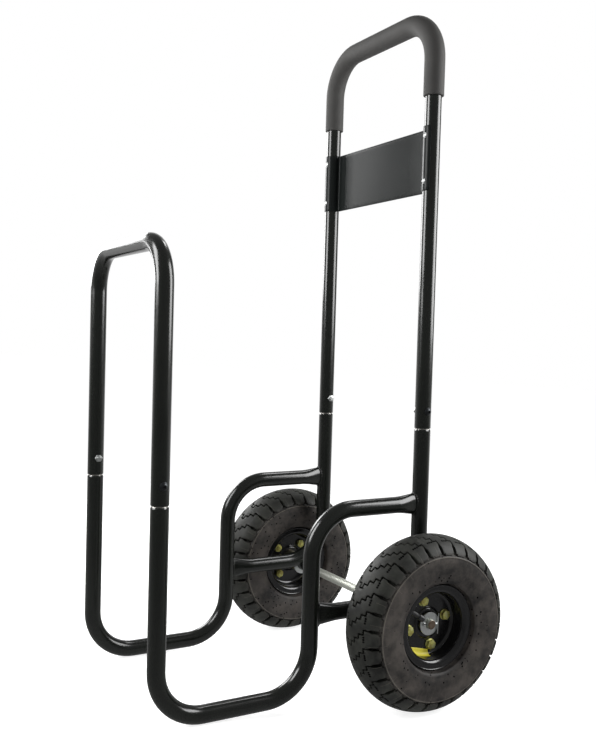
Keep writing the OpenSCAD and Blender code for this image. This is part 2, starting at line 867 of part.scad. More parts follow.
// Path of the pressed sheet of a rim half, as [distance along the axis, radius]
function rim_path() =
    let (h = rim_t / 2, wall = seat_r - h)
    concat([[h + collar_rise, hub_od / 2 + hub_gap], [h + collar_rise, collar_r - collar_edge],
            [h + collar_rise - collar_edge, collar_r], [h, collar_r + collar_rise]],
           arc(h + dish_r, wall - dish_r, dish_r, 180, 90, 8),
           arc(rim_lip - flange_r, wall + flange_r, flange_r, -90, 0, 8),
           arc(rim_lip + edge_r, edge_z, edge_r, 180, edge_turn, 4));

// Rim half: inner half is the mirror image of the outer one
module rim_half(side, spin, inner) {
    color("#101112")
        at_wheel(side, spin)
            mirror([0, 0, inner ? 1 : 0])
                difference() {
                    spin_about_axle()
                        polygon(sheet(rim_path(), rim_t));
                    rim_bolt_places()
                        translate([0, 0, -cut])
                            cylinder(h = rim_t + 2 * cut, d = rim_bolt_d + bolt_clearance, $fn = 32);
                    if (!inner)
                        valve_place()
                            cylinder(h = 2 * valve_length, d = valve_d + 2 * valve_gap, center = true,
                                     $fn = 32);
                }
}

module rim_bolt_places() {
    for (i = [0:rim_bolts - 1])
        rotate([0, 0, 360 * i / rim_bolts])
            translate([rim_pcd / 2, 0, 0])
                children();
}

// Valve axis: z = 0 at the bead seat, pointing in towards the hub between two bolts
module valve_place() {
    rotate([0, 0, 180 / rim_bolts])
        translate([seat_r, 0, valve_offset])
            rotate([0, valve_lean - 90, 0])
                children();
}

module hub(side, spin) {
    color("#c9c7b4")
        at_wheel(side, spin)
            translate([0, 0, hub_in])
                difference() {
                    cylinder(h = hub_length, d = hub_od);
                    translate([0, 0, -cut])
                        cylinder(h = hub_length + 2 * cut, r = bearing_r);
                }
}

// Flanged bearings pressed into both ends of a hub barrel
module bearings(side, spin) {
    color("#b9bcb8")
        at_wheel(side, spin)
            for (end = [0, 1])
                translate([0, 0, end == 1 ? hub_nose : hub_in])
                    mirror([0, 0, end == 1 ? 0 : 1])
                        difference() {
                            union() {
                                translate([0, 0, -bearing_l])
                                    cylinder(h = bearing_l + bearing_flange_t, r = bearing_r - hub_gap);
                                cylinder(h = bearing_flange_t, d = hub_od);
                            }
                            translate([0, 0, -bearing_l - cut])
                                cylinder(h = bearing_l + bearing_flange_t + 2 * cut,
                                         d = axle_d + bearing_clearance);
                        }
}

// Rim bolts: flanged hexagon heads outside, shanks through both rim halves
module rim_bolt_set(side, spin) {
    washer_face = 1.4;
    flange_d = 1.25 * rim_bolt_af;
    length = 2 * rim_t + rim_nut_h + rim_bolt_tail;
    color("#c3bd5a")
        at_wheel(side, spin)
            rim_bolt_places() {
                translate([0, 0, rim_t - length])
                    cylinder(h = length, d = rim_bolt_d, $fn = 32);
                translate([0, 0, rim_t])
                    cylinder(h = washer_face, d = flange_d, $fn = 48);
                translate([0, 0, rim_t + washer_face])
                    cylinder(h = rim_head_h - washer_face, d = rim_bolt_af / cos(30), $fn = 6);
            }
}

module rim_nuts(side, spin) {
    color("#c3bd5a")
        at_wheel(side, spin)
            rim_bolt_places()
                translate([0, 0, -rim_t - rim_nut_h])
                    hex_ring(rim_bolt_af, rim_nut_h, rim_bolt_d);
}

// Valve stem: from the inner tube in through the rim, with a shoulder under the cap.
// Its foot is sunk until the leaning end is clear of the tyre
valve_foot = valve_d / 2 * sin(valve_lean) + valve_gap;
cap_roof = 2;
tip_room = 1;
module valve_stem(side, spin) {
    tip_end = valve_length + valve_cap_l - cap_roof - tip_room;
    color("#1c1c1c")
        at_wheel(side, spin)
            valve_place()
                translate([0, 0, valve_foot]) {
                    cylinder(h = valve_length - valve_foot, d = valve_d, $fn = 48);
                    cylinder(h = tip_end - valve_foot, d = valve_tip_d, $fn = 48);
                }
}

module valve_cap(side, spin) {
    chamfer = 1;
    color("#232323")
        at_wheel(side, spin)
            valve_place()
                translate([0, 0, valve_length])
                    difference() {
                        union() {
                            cylinder(h = valve_cap_l - chamfer, d = valve_cap_d, $fn = 48);
                            translate([0, 0, valve_cap_l - chamfer])
                                cylinder(h = chamfer, d1 = valve_cap_d, d2 = valve_cap_d - 2 * chamfer,
                                         $fn = 48);
                        }
                        translate([0, 0, -cut])
                            cylinder(h = valve_cap_l - cap_roof + cut, d = valve_tip_d, $fn = 48);
                    }
}

stand() side_tube(side_x);  // side_tube_left
stand() side_tube(-side_x);  // side_tube_right
stand() rear_leg(side_x);  // rear_leg_left
stand() rear_leg(-side_x);  // rear_leg_right
stand() front_hoop();
stand() handle_hoop();
stand() handle_grip();
stand() back_panel();
stand() panel_rivets();
joint_bolts(front_y, front_joint_z);  // front_joint_bolts
joint_nuts(front_y, front_joint_z);  // front_joint_nuts
joint_bolts(rear_y, rear_joint_z);  // rear_joint_bolts
joint_nuts(rear_y, rear_joint_z);  // rear_joint_nuts
axle_sleeve(1);  // axle_sleeve_left
axle_sleeve(-1);  // axle_sleeve_right
axle();
axle_washers();
split_pins();
tyre(1, left_wheel_angle);  // left_tyre
inner_tube(1, left_wheel_angle);  // left_inner_tube
rim_half(1, left_wheel_angle, false);  // left_rim_outer
rim_half(1, left_wheel_angle, true);  // left_rim_inner
hub(1, left_wheel_angle);  // left_hub
bearings(1, left_wheel_angle);  // left_bearings
rim_bolt_set(1, left_wheel_angle);  // left_rim_bolts
rim_nuts(1, left_wheel_angle);  // left_rim_nuts
valve_stem(1, left_wheel_angle);  // left_valve_stem
valve_cap(1, left_wheel_angle);  // left_valve_cap
tyre(-1, right_wheel_angle);  // right_tyre
inner_tube(-1, right_wheel_angle);  // right_inner_tube
rim_half(-1, right_wheel_angle, false);  // right_rim_outer
rim_half(-1, right_wheel_angle, true);  // right_rim_inner
hub(-1, right_wheel_angle);  // right_hub
bearings(-1, right_wheel_angle);  // right_bearings
rim_bolt_set(-1, right_wheel_angle);  // right_rim_bolts
rim_nuts(-1, right_wheel_angle);  // right_rim_nuts
valve_stem(-1, right_wheel_angle);  // right_valve_stem
valve_cap(-1, right_wheel_angle);  // right_valve_cap
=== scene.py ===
import json
import math

import bmesh
import bpy
from mathutils import Matrix, Vector


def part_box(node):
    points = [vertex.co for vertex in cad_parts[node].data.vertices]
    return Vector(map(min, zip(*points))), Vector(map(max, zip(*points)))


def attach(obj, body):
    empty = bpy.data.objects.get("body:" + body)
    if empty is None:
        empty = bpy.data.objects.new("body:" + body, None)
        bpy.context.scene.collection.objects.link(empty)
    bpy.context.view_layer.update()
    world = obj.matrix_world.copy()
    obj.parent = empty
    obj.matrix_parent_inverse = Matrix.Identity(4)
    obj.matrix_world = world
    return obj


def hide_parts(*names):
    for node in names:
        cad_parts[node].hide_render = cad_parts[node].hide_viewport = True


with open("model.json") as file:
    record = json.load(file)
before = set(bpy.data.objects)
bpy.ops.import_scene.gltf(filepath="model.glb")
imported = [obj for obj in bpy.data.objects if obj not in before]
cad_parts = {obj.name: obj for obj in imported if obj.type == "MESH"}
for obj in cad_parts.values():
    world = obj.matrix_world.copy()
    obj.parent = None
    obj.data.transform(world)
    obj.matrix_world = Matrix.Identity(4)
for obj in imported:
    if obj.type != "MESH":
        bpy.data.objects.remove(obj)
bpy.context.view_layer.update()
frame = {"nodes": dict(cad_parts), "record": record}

# ---- Side tubes ----
# Each side frame's long member is one length of 25 mm steel tube, cold bent into front stub, bottom
# run, riser and upper rail. Its front end is swaged down to a spigot that enters the hoop above, and
# its rear end is squashed to an oval and welded to the rear upright. Semi-gloss black powder coat.

# The frame is drawn square about the axle, in millimetres, and then tipped by the cart's stance.
tilt = frame["record"]["mounts"][0]["axis"]
stance = math.atan2(-tilt[2], -tilt[1])
axle_low, axle_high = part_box("axle")
axle_y = 500 * (axle_low[1] + axle_high[1])
axle_z = 500 * (axle_low[2] + axle_high[2])
stand = Matrix.Translation((0, axle_y, axle_z)) @ Matrix.Rotation(stance, 4, "X")

side_x = 142.25
front_y, riser_y, rear_y = -392.25, -158.75, 33.25
run_z, lower_z, upper_z = -102.25, 12, 162.25
front_joint_z = 186.75
tube_r, spigot_r = 12.5, 10.9
spigot_length, shoulder_length = 52, 2.5
side_bend = 68
rail_end_length, rail_end_height, rail_end_width = 48, 34.5, 12.5


def linear(hex_colour):
    """sRGB hex to the linear colour that Blender works in."""
    parts = [int(hex_colour[i:i + 2], 16) / 255 for i in (1, 3, 5)]
    return [c / 12.92 if c <= 0.04045 else ((c + 0.055) / 1.055) ** 2.4 for c in parts] + [1]


def add(tree, kind, settings=None, links=None):
    """Adds one node: its properties and socket values, then what feeds its sockets."""
    made = tree.nodes.new(kind)
    for name, value in (settings or {}).items():
        if isinstance(name, str) and hasattr(made, name):
            setattr(made, name, value)
        else:
            made.inputs[name].default_value = value
    for name, source in (links or {}).items():
        tree.links.new(source, made.inputs[name])
    return made


def new_material(name, colour, roughness, metallic=0.0):
    """A Principled material to be fed by nodes; returns it, its tree, shader and object coordinates."""
    material = bpy.data.materials.new(name)
    material.use_nodes = True
    tree = material.node_tree
    shader = tree.nodes["Principled BSDF"]
    shader.inputs["Base Color"].default_value = linear(colour)
    shader.inputs["Roughness"].default_value = roughness
    shader.inputs["Metallic"].default_value = metallic
    place = add(tree, "ShaderNodeTexCoord")
    return material, tree, shader, place.outputs["Object"]


# Black powder coat, half gloss: the eye reads it by soft stripes of light with a faint orange peel,
# about a millimetre from crest to crest, and by a slight cloudiness of its gloss.
powder_coat, tree, shader, spot = new_material("black powder coat", "#0d0f0d", 0.2)
peel = add(tree, "ShaderNodeTexNoise", {"Scale": 900, "Detail": 2}, {"Vector": spot})
cloud = add(tree, "ShaderNodeTexNoise", {"Scale": 22, "Detail": 3}, {"Vector": spot})
gloss = add(tree, "ShaderNodeMapRange", {"To Min": 0.16, "To Max": 0.24}, {"Value": cloud.outputs["Fac"]})
tone = add(tree, "ShaderNodeMix", {"data_type": "RGBA", 6: linear("#0a0c0a"), 7: linear("#10130f")},
           {0: cloud.outputs["Fac"]})
bump = add(tree, "ShaderNodeBump", {"Strength": 0.1, "Distance": 0.00006}, {"Height": peel.outputs["Fac"]})
tree.links.new(tone.outputs[2], shader.inputs["Base Color"])
tree.links.new(gloss.outputs["Result"], shader.inputs["Roughness"])
tree.links.new(bump.outputs["Normal"], shader.inputs["Normal"])


def in_side_plane(x):
    """Drawing X to the cart's depth, drawing Y to its height, at side plane x."""
    return stand @ Matrix(((0, 0, 1, x), (1, 0, 0, 0), (0, 1, 0, 0), (0, 0, 0, 1)))


def start_ring(bm, x, y, heading, radius, segments=40):
    """Ring of tube or wire round a path that sets off from (x, y) in the XY plane."""
    ring = bmesh.ops.create_circle(bm, segments=segments, radius=radius)["verts"]
    turn = Matrix.Rotation(math.radians(heading), 3, "Z") @ Matrix.Rotation(math.radians(90), 3, "Y")
    bmesh.ops.rotate(bm, verts=ring, cent=(0, 0, 0), matrix=turn)
    bmesh.ops.translate(bm, verts=ring, vec=(x, y, 0))
    return list({edge for vert in ring for edge in vert.link_edges})


def extrude(bm, edges):
    """Extrudes a ring in place; returns the new ring's vertices and edges."""
    made = bmesh.ops.extrude_edge_only(bm, edges=edges)["geom"]
    verts = [part for part in made if isinstance(part, bmesh.types.BMVert)]
    inside = set(verts)
    return verts, [part for part in made
                   if isinstance(part, bmesh.types.BMEdge) and inside.issuperset(part.verts)]


def run_on(bm, edges, x, y, size=1.0):
    """Extends a tube in a straight line, and changes its size on the way."""
    verts, edges = extrude(bm, edges)
    middle = sum((vert.co for vert in verts), Vector()) / len(verts)
    bmesh.ops.scale(bm, verts=verts, vec=(size, size, size), space=Matrix.Translation(-middle))
    bmesh.ops.translate(bm, verts=verts, vec=(x, y, 0))
    return edges


def bend(bm, edges, x, y, angle):
    """Extends a tube round (x, y) through an angle, in fifteen steps."""
    steps = 15
    turn = Matrix.Rotation(math.radians(angle / steps), 3, "Z")
    for _ in range(steps):
        verts, edges = extrude(bm, edges)
        bmesh.ops.rotate(bm, verts=verts, cent=(x, y, 0), matrix=turn)
    return edges


def open_end(bm, edges, x, y, bore):
    """Turns a tube's end in over its wall, and closes the bore out of sight at (x, y) from it."""
    edges = run_on(bm, edges, 0, 0, bore)
    edges = run_on(bm, edges, x, y)
    bmesh.ops.edgeloop_fill(bm, edges=edges)


def swaged_top(bm, y, joint_z):
    """Starts a tube that points down at depth y: its open spigot, then the shoulder under a joint."""
    ring = start_ring(bm, y, joint_z + spigot_length, -90, spigot_r)
    open_end(bm, ring, 0, -30, 0.86)
    ring = run_on(bm, ring, 0, -spigot_length)
    return run_on(bm, ring, 0, -shoulder_length, tube_r / spigot_r)


def rail_half_size(along):
    """Half height and half width of a squashed end, at a distance along it."""
    part = along / rail_end_length
    ease = part * part * (3 - 2 * part)
    return (tube_r + (rail_end_height / 2 - tube_r) * ease,
            tube_r + (rail_end_width / 2 - tube_r) * ease)


def squash_end(bm, edges, x, y, way):
    """Squashes a tube from (x, y) on, and fits its end half a millimetre into the upright's wall."""
    steps, last_ring, bite = 10, 36, 0.5
    for step in range(1, steps + 1):
        verts, edges = extrude(bm, edges)
        before = last_ring * (step - 1) / steps
        now = last_ring * step / steps
        high, wide = rail_half_size(now)
        old_high, old_wide = rail_half_size(before)
        for vert in verts:
            vert.co.y = y + (vert.co.y - y) * high / old_high
            vert.co.z *= wide / old_wide
            vert.co.x = x + way * now
            if step == steps:
                vert.co.x = x + way * (rail_end_length + bite - math.sqrt(tube_r ** 2 - vert.co.z ** 2))
    bmesh.ops.edgeloop_fill(bm, edges=edges)


def make_piece(bm, name, place, material, body, slot, *nodes, sharp=30):
    """Finishes a mesh drawn in millimetres and makes it a piece of the cart."""
    bmesh.ops.remove_doubles(bm, verts=bm.verts, dist=0.0005)
    bm.transform(Matrix.Scale(0.001, 4) @ place)
    bmesh.ops.recalc_face_normals(bm, faces=bm.faces)
    for face in bm.faces:
        face.smooth = True
    for edge in bm.edges:
        edge.smooth = not edge.is_manifold or edge.calc_face_angle() < math.radians(sharp)
    mesh = bpy.data.meshes.new(name)
    bm.to_mesh(mesh)
    bm.free()
    mesh.materials.append(material)
    piece = bpy.data.objects.new(name, mesh)
    bpy.context.scene.collection.objects.link(piece)
    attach(piece, body)
    if nodes:
        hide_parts(*nodes)
    return piece


for side, name in ((1, "left"), (-1, "right")):
    bm = bmesh.new()
    ring = swaged_top(bm, front_y, front_joint_z)
    ring = run_on(bm, ring, 0, run_z + side_bend - front_joint_z + shoulder_length)
    ring = bend(bm, ring, front_y + side_bend, run_z + side_bend, 90)
    ring = run_on(bm, ring, riser_y - front_y - 2 * side_bend, 0)
    ring = bend(bm, ring, riser_y - side_bend, run_z + side_bend, 90)
    ring = run_on(bm, ring, 0, upper_z - run_z - 2 * side_bend)
    ring = bend(bm, ring, riser_y + side_bend, upper_z - side_bend, -90)
    ring = run_on(bm, ring, rear_y - rail_end_length - riser_y - side_bend, 0)
    squash_end(bm, ring, rear_y - rail_end_length, upper_z, 1)
    make_piece(bm, "side_bar_" + name, in_side_plane(side * side_x), powder_coat, "frame", "powder_coat",
               "side_tube_" + name)

# ---- Rear legs ----
# The lower rail and the rear upright of each side are a second length of the same tube, bent on a
# 74 mm die under which the axle sleeve is welded. The rail's front end is squashed and welded to the
# riser, and the upright ends in a spigot for the handle hoop. Same powder coat.
rear_joint_z = 277.25
leg_bend = 74

for side, name in ((1, "left"), (-1, "right")):
    bm = bmesh.new()
    ring = swaged_top(bm, rear_y, rear_joint_z)
    ring = run_on(bm, ring, 0, lower_z + leg_bend - rear_joint_z + shoulder_length)
    ring = bend(bm, ring, rear_y - leg_bend, lower_z + leg_bend, -90)
    ring = run_on(bm, ring, riser_y + rail_end_length - rear_y + leg_bend, 0)
    squash_end(bm, ring, riser_y + rail_end_length, lower_z, -1)
    make_piece(bm, "rear_leg_bar_" + name, in_side_plane(side * side_x), powder_coat, "frame",
               "powder_coat", "rear_leg_" + name)

# ---- Welds ----
# A weld bead runs round each squashed rail end, and another round the seat of each axle sleeve under
# its leg bend. They are short overlapping puddles of filler wire, powder coated with the tube, and the
# sleeves are 25 mm lengths of 20 mm tube, coped to the bend.
rail_bead_half_w, rail_bead_half_h, rail_bead_r, rail_puddles = 7.3, 16.6, 2.1, 26
sleeve_bead_half_w, sleeve_bead_angle, sleeve_bead_r, sleeve_puddles = 7.5, 34, 2.2, 20
sleeve_seat_r = 10.2


def weld_bead(bm, path, puddles, thickness):
    """Closed bead along path(turn), which gives a point and the two directions across it."""
    grid = bmesh.ops.create_grid(bm, x_segments=puddles * 5, y_segments=8, size=1)["verts"]
    for vert in grid:
        turn = (vert.co.x + 1) * math.pi
        around = (vert.co.y + 1) * math.pi
        point, out, up = path(turn)
        radius = thickness * (0.88 + 0.2 * abs(math.sin(turn * puddles / 2)))
        vert.co = point + radius * (math.cos(around) * out + math.sin(around) * up)


bm = bmesh.new()
for side in (1, -1):
    for upright_y, rail_z, way in ((rear_y, upper_z, -1), (riser_y, lower_z, 1)):
        def round_rail(turn):
            across, high = rail_bead_half_w * math.sin(turn), rail_bead_half_h * math.cos(turn)
            wide = rail_bead_half_w * math.cos(turn - math.pi / 2)
            out = Vector((wide, 0, 3.2 * math.cos(turn))).normalized()
            face = upright_y + way * math.sqrt(tube_r ** 2 - across ** 2)
            return Vector((side * side_x + across, face, rail_z + high)), out, Vector((0, way, 0))
        weld_bead(bm, round_rail, rail_puddles, rail_bead_r)

    def round_sleeve(turn):
        middle = math.atan2(lower_z + leg_bend, rear_y - leg_bend)
        angle = middle + math.radians(sleeve_bead_angle) * math.sin(turn)
        up = Vector((0, math.cos(angle), math.sin(angle)))
        along = Vector((0, -math.sin(angle), math.cos(angle)))
        out = (math.cos(turn) * Vector((1, 0, 0)) + math.sin(turn) * along).normalized()
        across = side * side_x + sleeve_bead_half_w * math.cos(turn)
        return Vector((across, 0, 0)) + sleeve_seat_r * up, out, up
    weld_bead(bm, round_sleeve, sleeve_puddles, sleeve_bead_r)
make_piece(bm, "weld_beads", stand, powder_coat, "frame", "powder_coat", sharp=60)
for name in ("axle_sleeve_left", "axle_sleeve_right"):
    frame["nodes"][name].data.materials.clear()
    frame["nodes"][name].data.materials.append(powder_coat)

# ---- Front hoop ----
# An inverted U of the same tube slides over the spigots of both front stubs, and a bolt pins each
# joint. A bare gap of about a millimetre shows between its legs and the sloping shoulders below.
front_top_z = 535.5
front_bend = 60


def in_front_plane(y):
    """Drawing X across the cart, drawing Y to its height, at depth y."""
    return stand @ Matrix(((1, 0, 0, 0), (0, 0, -1, y), (0, 1, 0, 0), (0, 0, 0, 1)))


def half_hoop(bm, foot, top, bend_radius):
    """Right leg, corner and half crossbar of a hoop, then its mirror image."""
    ring = start_ring(bm, -side_x, foot, 90, tube_r)
    open_end(bm, ring, 0, 25, 0.88)
    ring = run_on(bm, ring, 0, top - bend_radius - foot)
    ring = bend(bm, ring, bend_radius - side_x, top - bend_radius, -90)
    run_on(bm, ring, side_x - bend_radius, 0)
    bmesh.ops.mirror(bm, geom=bm.verts[:] + bm.edges[:] + bm.faces[:], axis="X", merge_dist=0.001)


bm = bmesh.new()
half_hoop(bm, front_joint_z + 1.25, front_top_z, front_bend)
make_piece(bm, "front_hoop_bar", in_front_plane(front_y), powder_coat, "frame", "powder_coat", "front_hoop")

# ---- Handle hoop ----
# The taller inverted U that carries the back panel and the grip, pinned over the spigots of the rear
# uprights in the same way. Same tube and powder coat.
handle_z = 905.25
handle_bend = 66

bm = bmesh.new()
half_hoop(bm, rear_joint_z + 1.25, handle_z, handle_bend)
make_piece(bm, "handle_hoop_bar", in_front_plane(rear_y), powder_coat, "frame", "powder_coat", "handle_hoop")

# ---- Bare spigots ----
# The swaged spigots were masked from the coat. A thin bright ring of bare steel shows in the gap of
# each joint, between the end of the hoop and the coated shoulder below it.

# Bright drawn steel: light, slightly warm metal with fine streaks.
bare_steel, tree, shader, spot = new_material("bare drawn steel", "#a9a7a2", 0.42, 1.0)
streak = add(tree, "ShaderNodeTexNoise", {"Scale": 500, "Detail": 3}, {"Vector": spot})
tone = add(tree, "ShaderNodeMix", {"data_type": "RGBA", 6: linear("#8f8d88"), 7: linear("#bab8b3")},
           {0: streak.outputs["Fac"]})
tree.links.new(tone.outputs[2], shader.inputs["Base Color"])


def spin_profile(bm, points, steps=48):
    """Turns a profile of (radius, height) points about the Z axis of the drawing."""
    verts = [bm.verts.new((radius, 0, height)) for radius, height in points]
    edges = [bm.edges.new(pair) for pair in zip(verts, verts[1:])]
    bmesh.ops.spin(bm, geom=verts + edges, cent=(0, 0, 0), axis=(0, 0, 1), angle=math.tau,
                   steps=steps, use_merge=True)


def add_copies(bm, source, places):
    """Adds a copy of a drawn mesh at each place."""
    for place in places:
        copy = source.copy()
        copy.transform(place)
        mesh = bpy.data.meshes.new("copy")
        copy.to_mesh(mesh)
        copy.free()
        bm.from_mesh(mesh)
        bpy.data.meshes.remove(mesh)
    source.free()


bare_in, bare_r, bare_low, bare_high = 10, spigot_r + 0.06, -0.6, 5

spigot = bmesh.new()
spin_profile(spigot, [(bare_in, bare_high), (bare_r, bare_high), (bare_r, 0.04), (spigot_r + 0.45, bare_low),
                      (bare_in, bare_low), (bare_in, bare_high)])
bm = bmesh.new()
add_copies(bm, spigot, [Matrix.Translation((side * side_x, y, z)) for side in (1, -1)
                        for y, z in ((front_y, front_joint_z), (rear_y, rear_joint_z))])
make_piece(bm, "bare_spigots", stand, bare_steel, "frame", "zinc")

# ---- Handle grip ----
# One sleeve of moulded charcoal foam covers the crossbar and the tops of both legs. Its ends are cut
# square and softened. Closed-cell skin: matt, with pores well under a millimetre.
grip_r, grip_edge = 15.8, 1.2
grip_end_z = 783.75

# Moulded foam: dark grey and matt, lit broadly, with a fine stipple and faint softer clouds. The pores
# are drawn about 0.9 mm apart, coarser than the real ones, so that they show.
foam, tree, shader, spot = new_material("moulded grip foam", "#2b2a29", 0.75)
pores = add(tree, "ShaderNodeTexVoronoi", {"Scale": 1100}, {"Vector": spot})
clouds = add(tree, "ShaderNodeTexNoise", {"Scale": 40, "Detail": 4}, {"Vector": spot})
tone = add(tree, "ShaderNodeMix", {"data_type": "RGBA", 6: linear("#252423"), 7: linear("#31302e")},
           {0: clouds.outputs["Fac"]})
bump = add(tree, "ShaderNodeBump", {"Strength": 0.35, "Distance": 0.0002},
           {"Height": pores.outputs["Distance"]})
tree.links.new(tone.outputs[2], shader.inputs["Base Color"])
tree.links.new(bump.outputs["Normal"], shader.inputs["Normal"])

bm = bmesh.new()
ring = start_ring(bm, -side_x, grip_end_z, 90, grip_r - grip_edge)
bmesh.ops.edgeloop_fill(bm, edges=ring)
size = grip_r - grip_edge
for step in range(1, 5):
    angle = math.radians(22.5 * step)
    wider = grip_r - grip_edge + grip_edge * math.sin(angle)
    rise = grip_edge * (math.cos(angle - math.radians(22.5)) - math.cos(angle))
    ring = run_on(bm, ring, 0, rise, wider / size)
    size = wider
ring = run_on(bm, ring, 0, handle_z - handle_bend - grip_end_z - grip_edge)
ring = bend(bm, ring, handle_bend - side_x, handle_z - handle_bend, -90)
run_on(bm, ring, side_x - handle_bend, 0)
bmesh.ops.mirror(bm, geom=bm.verts[:] + bm.edges[:] + bm.faces[:], axis="X", merge_dist=0.001)
make_piece(bm, "foam_grip", in_front_plane(rear_y), foam, "frame", "grip_foam", "handle_grip")

# ---- Back panel ----
# A plate of 1.2 mm sheet steel, 98 mm high, lies behind the rear uprights. Its ends turn forwards
# beside the uprights and curl round them to the front, where they are riveted. Satin charcoal coat.
panel_z, panel_height, panel_t = 640.15, 98, 1.2
panel_set, panel_bend, panel_wrap = 5, 3.6, 44
curl_r = tube_r + 0.05 + panel_t / 2

# Satin powder coat: a little greyer and flatter than the tube, with broad soft reflections.
panel_coat, tree, shader, spot = new_material("satin panel coat", "#121514", 0.24)
peel = add(tree, "ShaderNodeTexNoise", {"Scale": 800, "Detail": 2}, {"Vector": spot})
cloud = add(tree, "ShaderNodeTexNoise", {"Scale": 14, "Detail": 3}, {"Vector": spot})
gloss = add(tree, "ShaderNodeMapRange", {"To Min": 0.21, "To Max": 0.28}, {"Value": cloud.outputs["Fac"]})
tone = add(tree, "ShaderNodeMix", {"data_type": "RGBA", 6: linear("#101212"), 7: linear("#151817")},
           {0: cloud.outputs["Fac"]})
bump = add(tree, "ShaderNodeBump", {"Strength": 0.2, "Distance": 0.00006}, {"Height": peel.outputs["Fac"]})
tree.links.new(tone.outputs[2], shader.inputs["Base Color"])
tree.links.new(gloss.outputs["Result"], shader.inputs["Roughness"])
tree.links.new(bump.outputs["Normal"], shader.inputs["Normal"])
shader.inputs["Specular IOR Level"].default_value = 0.1


def arc(x, y, radius, start, end, steps):
    """Points of an arc about (x, y), from one angle to another in degrees."""
    angles = [math.radians(start + (end - start) * i / steps) for i in range(steps + 1)]
    return [(x + radius * math.cos(a), y + radius * math.sin(a)) for a in angles]


def thicken(piece, thickness):
    """Gives a sheet its thickness in millimetres, half to each side."""
    sheet = piece.modifiers.new("sheet", "SOLIDIFY")
    sheet.thickness = thickness / 1000
    sheet.offset = 0


def soften_edges(piece, width, segments, limit):
    """Rounds the edges that turn by more than a limit in degrees; the width is in millimetres."""
    edge = piece.modifiers.new("edge", "BEVEL")
    edge.width = width / 1000
    edge.segments = segments
    edge.limit_method = "ANGLE"
    edge.angle_limit = math.radians(limit)


reach = curl_r + panel_bend
bend_y = panel_set - panel_bend
bend_x = math.sqrt(reach ** 2 - bend_y ** 2)
meet = math.degrees(math.atan2(bend_y, -bend_x))
line = [(side_x - bend_x, panel_set)]
line += arc(side_x - bend_x, bend_y, panel_bend, 90, meet - 180, 8)[1:]
line += arc(side_x, 0, curl_r, meet, 270 + panel_wrap, 28)[1:]
line = [(0, panel_set), (40, panel_set), (80, panel_set)] + line
tip_r = 5
to_tip = [sum(math.dist(line[j], line[j + 1]) for j in range(i, len(line) - 1)) for i in range(len(line))]
bm = bmesh.new()
rows = 16
grid = bmesh.ops.create_grid(bm, x_segments=len(line) - 1, y_segments=rows, size=1)["verts"]
for vert in grid:
    i = round((vert.co.x + 1) / 2 * (len(line) - 1))
    short = max(tip_r - to_tip[i], 0)
    drop = tip_r - math.sqrt(tip_r ** 2 - short ** 2)
    vert.co = Vector((*line[i], panel_z + panel_height / 2 + vert.co.y * (panel_height / 2 - drop)))
bmesh.ops.mirror(bm, geom=bm.verts[:] + bm.edges[:] + bm.faces[:], axis="X", merge_dist=0.001)
panel = make_piece(bm, "curled_panel", stand @ Matrix.Translation((0, rear_y, 0)), panel_coat, "frame",
                   "panel_coat", "back_panel", sharp=60)
thicken(panel, panel_t)
soften_edges(panel, 0.3, 2, 30)

# ---- Panel rivets ----
# Four aluminium blind rivets with low domed heads and a small hole where the pin broke off. They pass
# through the curled ends and the front wall of each upright.
rivet_head_r, rivet_head_h, rivet_inset = 4, 1.6, 14.5

# Aluminium: light grey metal, slightly brushed by its drawing, with a darker grain.
aluminium, tree, shader, spot = new_material("rivet aluminium", "#b5b6b5", 0.45, 1.0)
grain = add(tree, "ShaderNodeTexNoise", {"Scale": 1500, "Detail": 3}, {"Vector": spot})
tone = add(tree, "ShaderNodeMix", {"data_type": "RGBA", 6: linear("#a3a5a5"), 7: linear("#c4c5c3")},
           {0: grain.outputs["Fac"]})
tree.links.new(tone.outputs[2], shader.inputs["Base Color"])

rivet = bmesh.new()
dome_r = (rivet_head_r ** 2 + rivet_head_h ** 2) / (2 * rivet_head_h)
dome = [(x, math.sqrt(dome_r ** 2 - x ** 2) - dome_r + rivet_head_h) for x in (1.1, 1.8, 2.6, 3.3, 3.8)]
spin_profile(rivet, [(0, -3.4), (2.7, -3.4), (2.7, -2), (2, -2), (2, 0), (rivet_head_r, 0),
                     (rivet_head_r, 0.2)] + dome[::-1] + [(1, 1.3), (1, 0.4), (0, 0.4)], 32)
bm = bmesh.new()
add_copies(bm, rivet, [Matrix.Translation((side * side_x, rear_y - tube_r - panel_t - 0.05, z))
                       @ Matrix.Rotation(math.radians(90), 4, "X")
                       for side in (1, -1)
                       for z in (panel_z + rivet_inset, panel_z + panel_height - rivet_inset)])
make_piece(bm, "blind_rivets", stand, aluminium, "frame", "rivet", "panel_rivets")

# ---- Joint bolts and nuts ----
# Each of the four joints is pinned by an M6 bolt: a low round head with a hexagon socket, blacked,
# outside, and a bright zinc nut on the inner side with the bolt's end standing out of it.
bolt_rise, bolt_r, bolt_inner_end = 27.5, 3, -17
head_r, head_h = 6, 3.4
nut_flats, nut_t, bolt_tail = 10, 5, 2

# Black zinc: nearly black metal, with a soft sheen.
black_zinc, tree, shader, spot = new_material("black zinc", "#3a3c3e", 0.38, 1.0)
grain = add(tree, "ShaderNodeTexNoise", {"Scale": 700, "Detail": 3}, {"Vector": spot})
tone = add(tree, "ShaderNodeMix", {"data_type": "RGBA", 6: linear("#2e3032"), 7: linear("#47494b")},
           {0: grain.outputs["Fac"]})
tree.links.new(tone.outputs[2], shader.inputs["Base Color"])

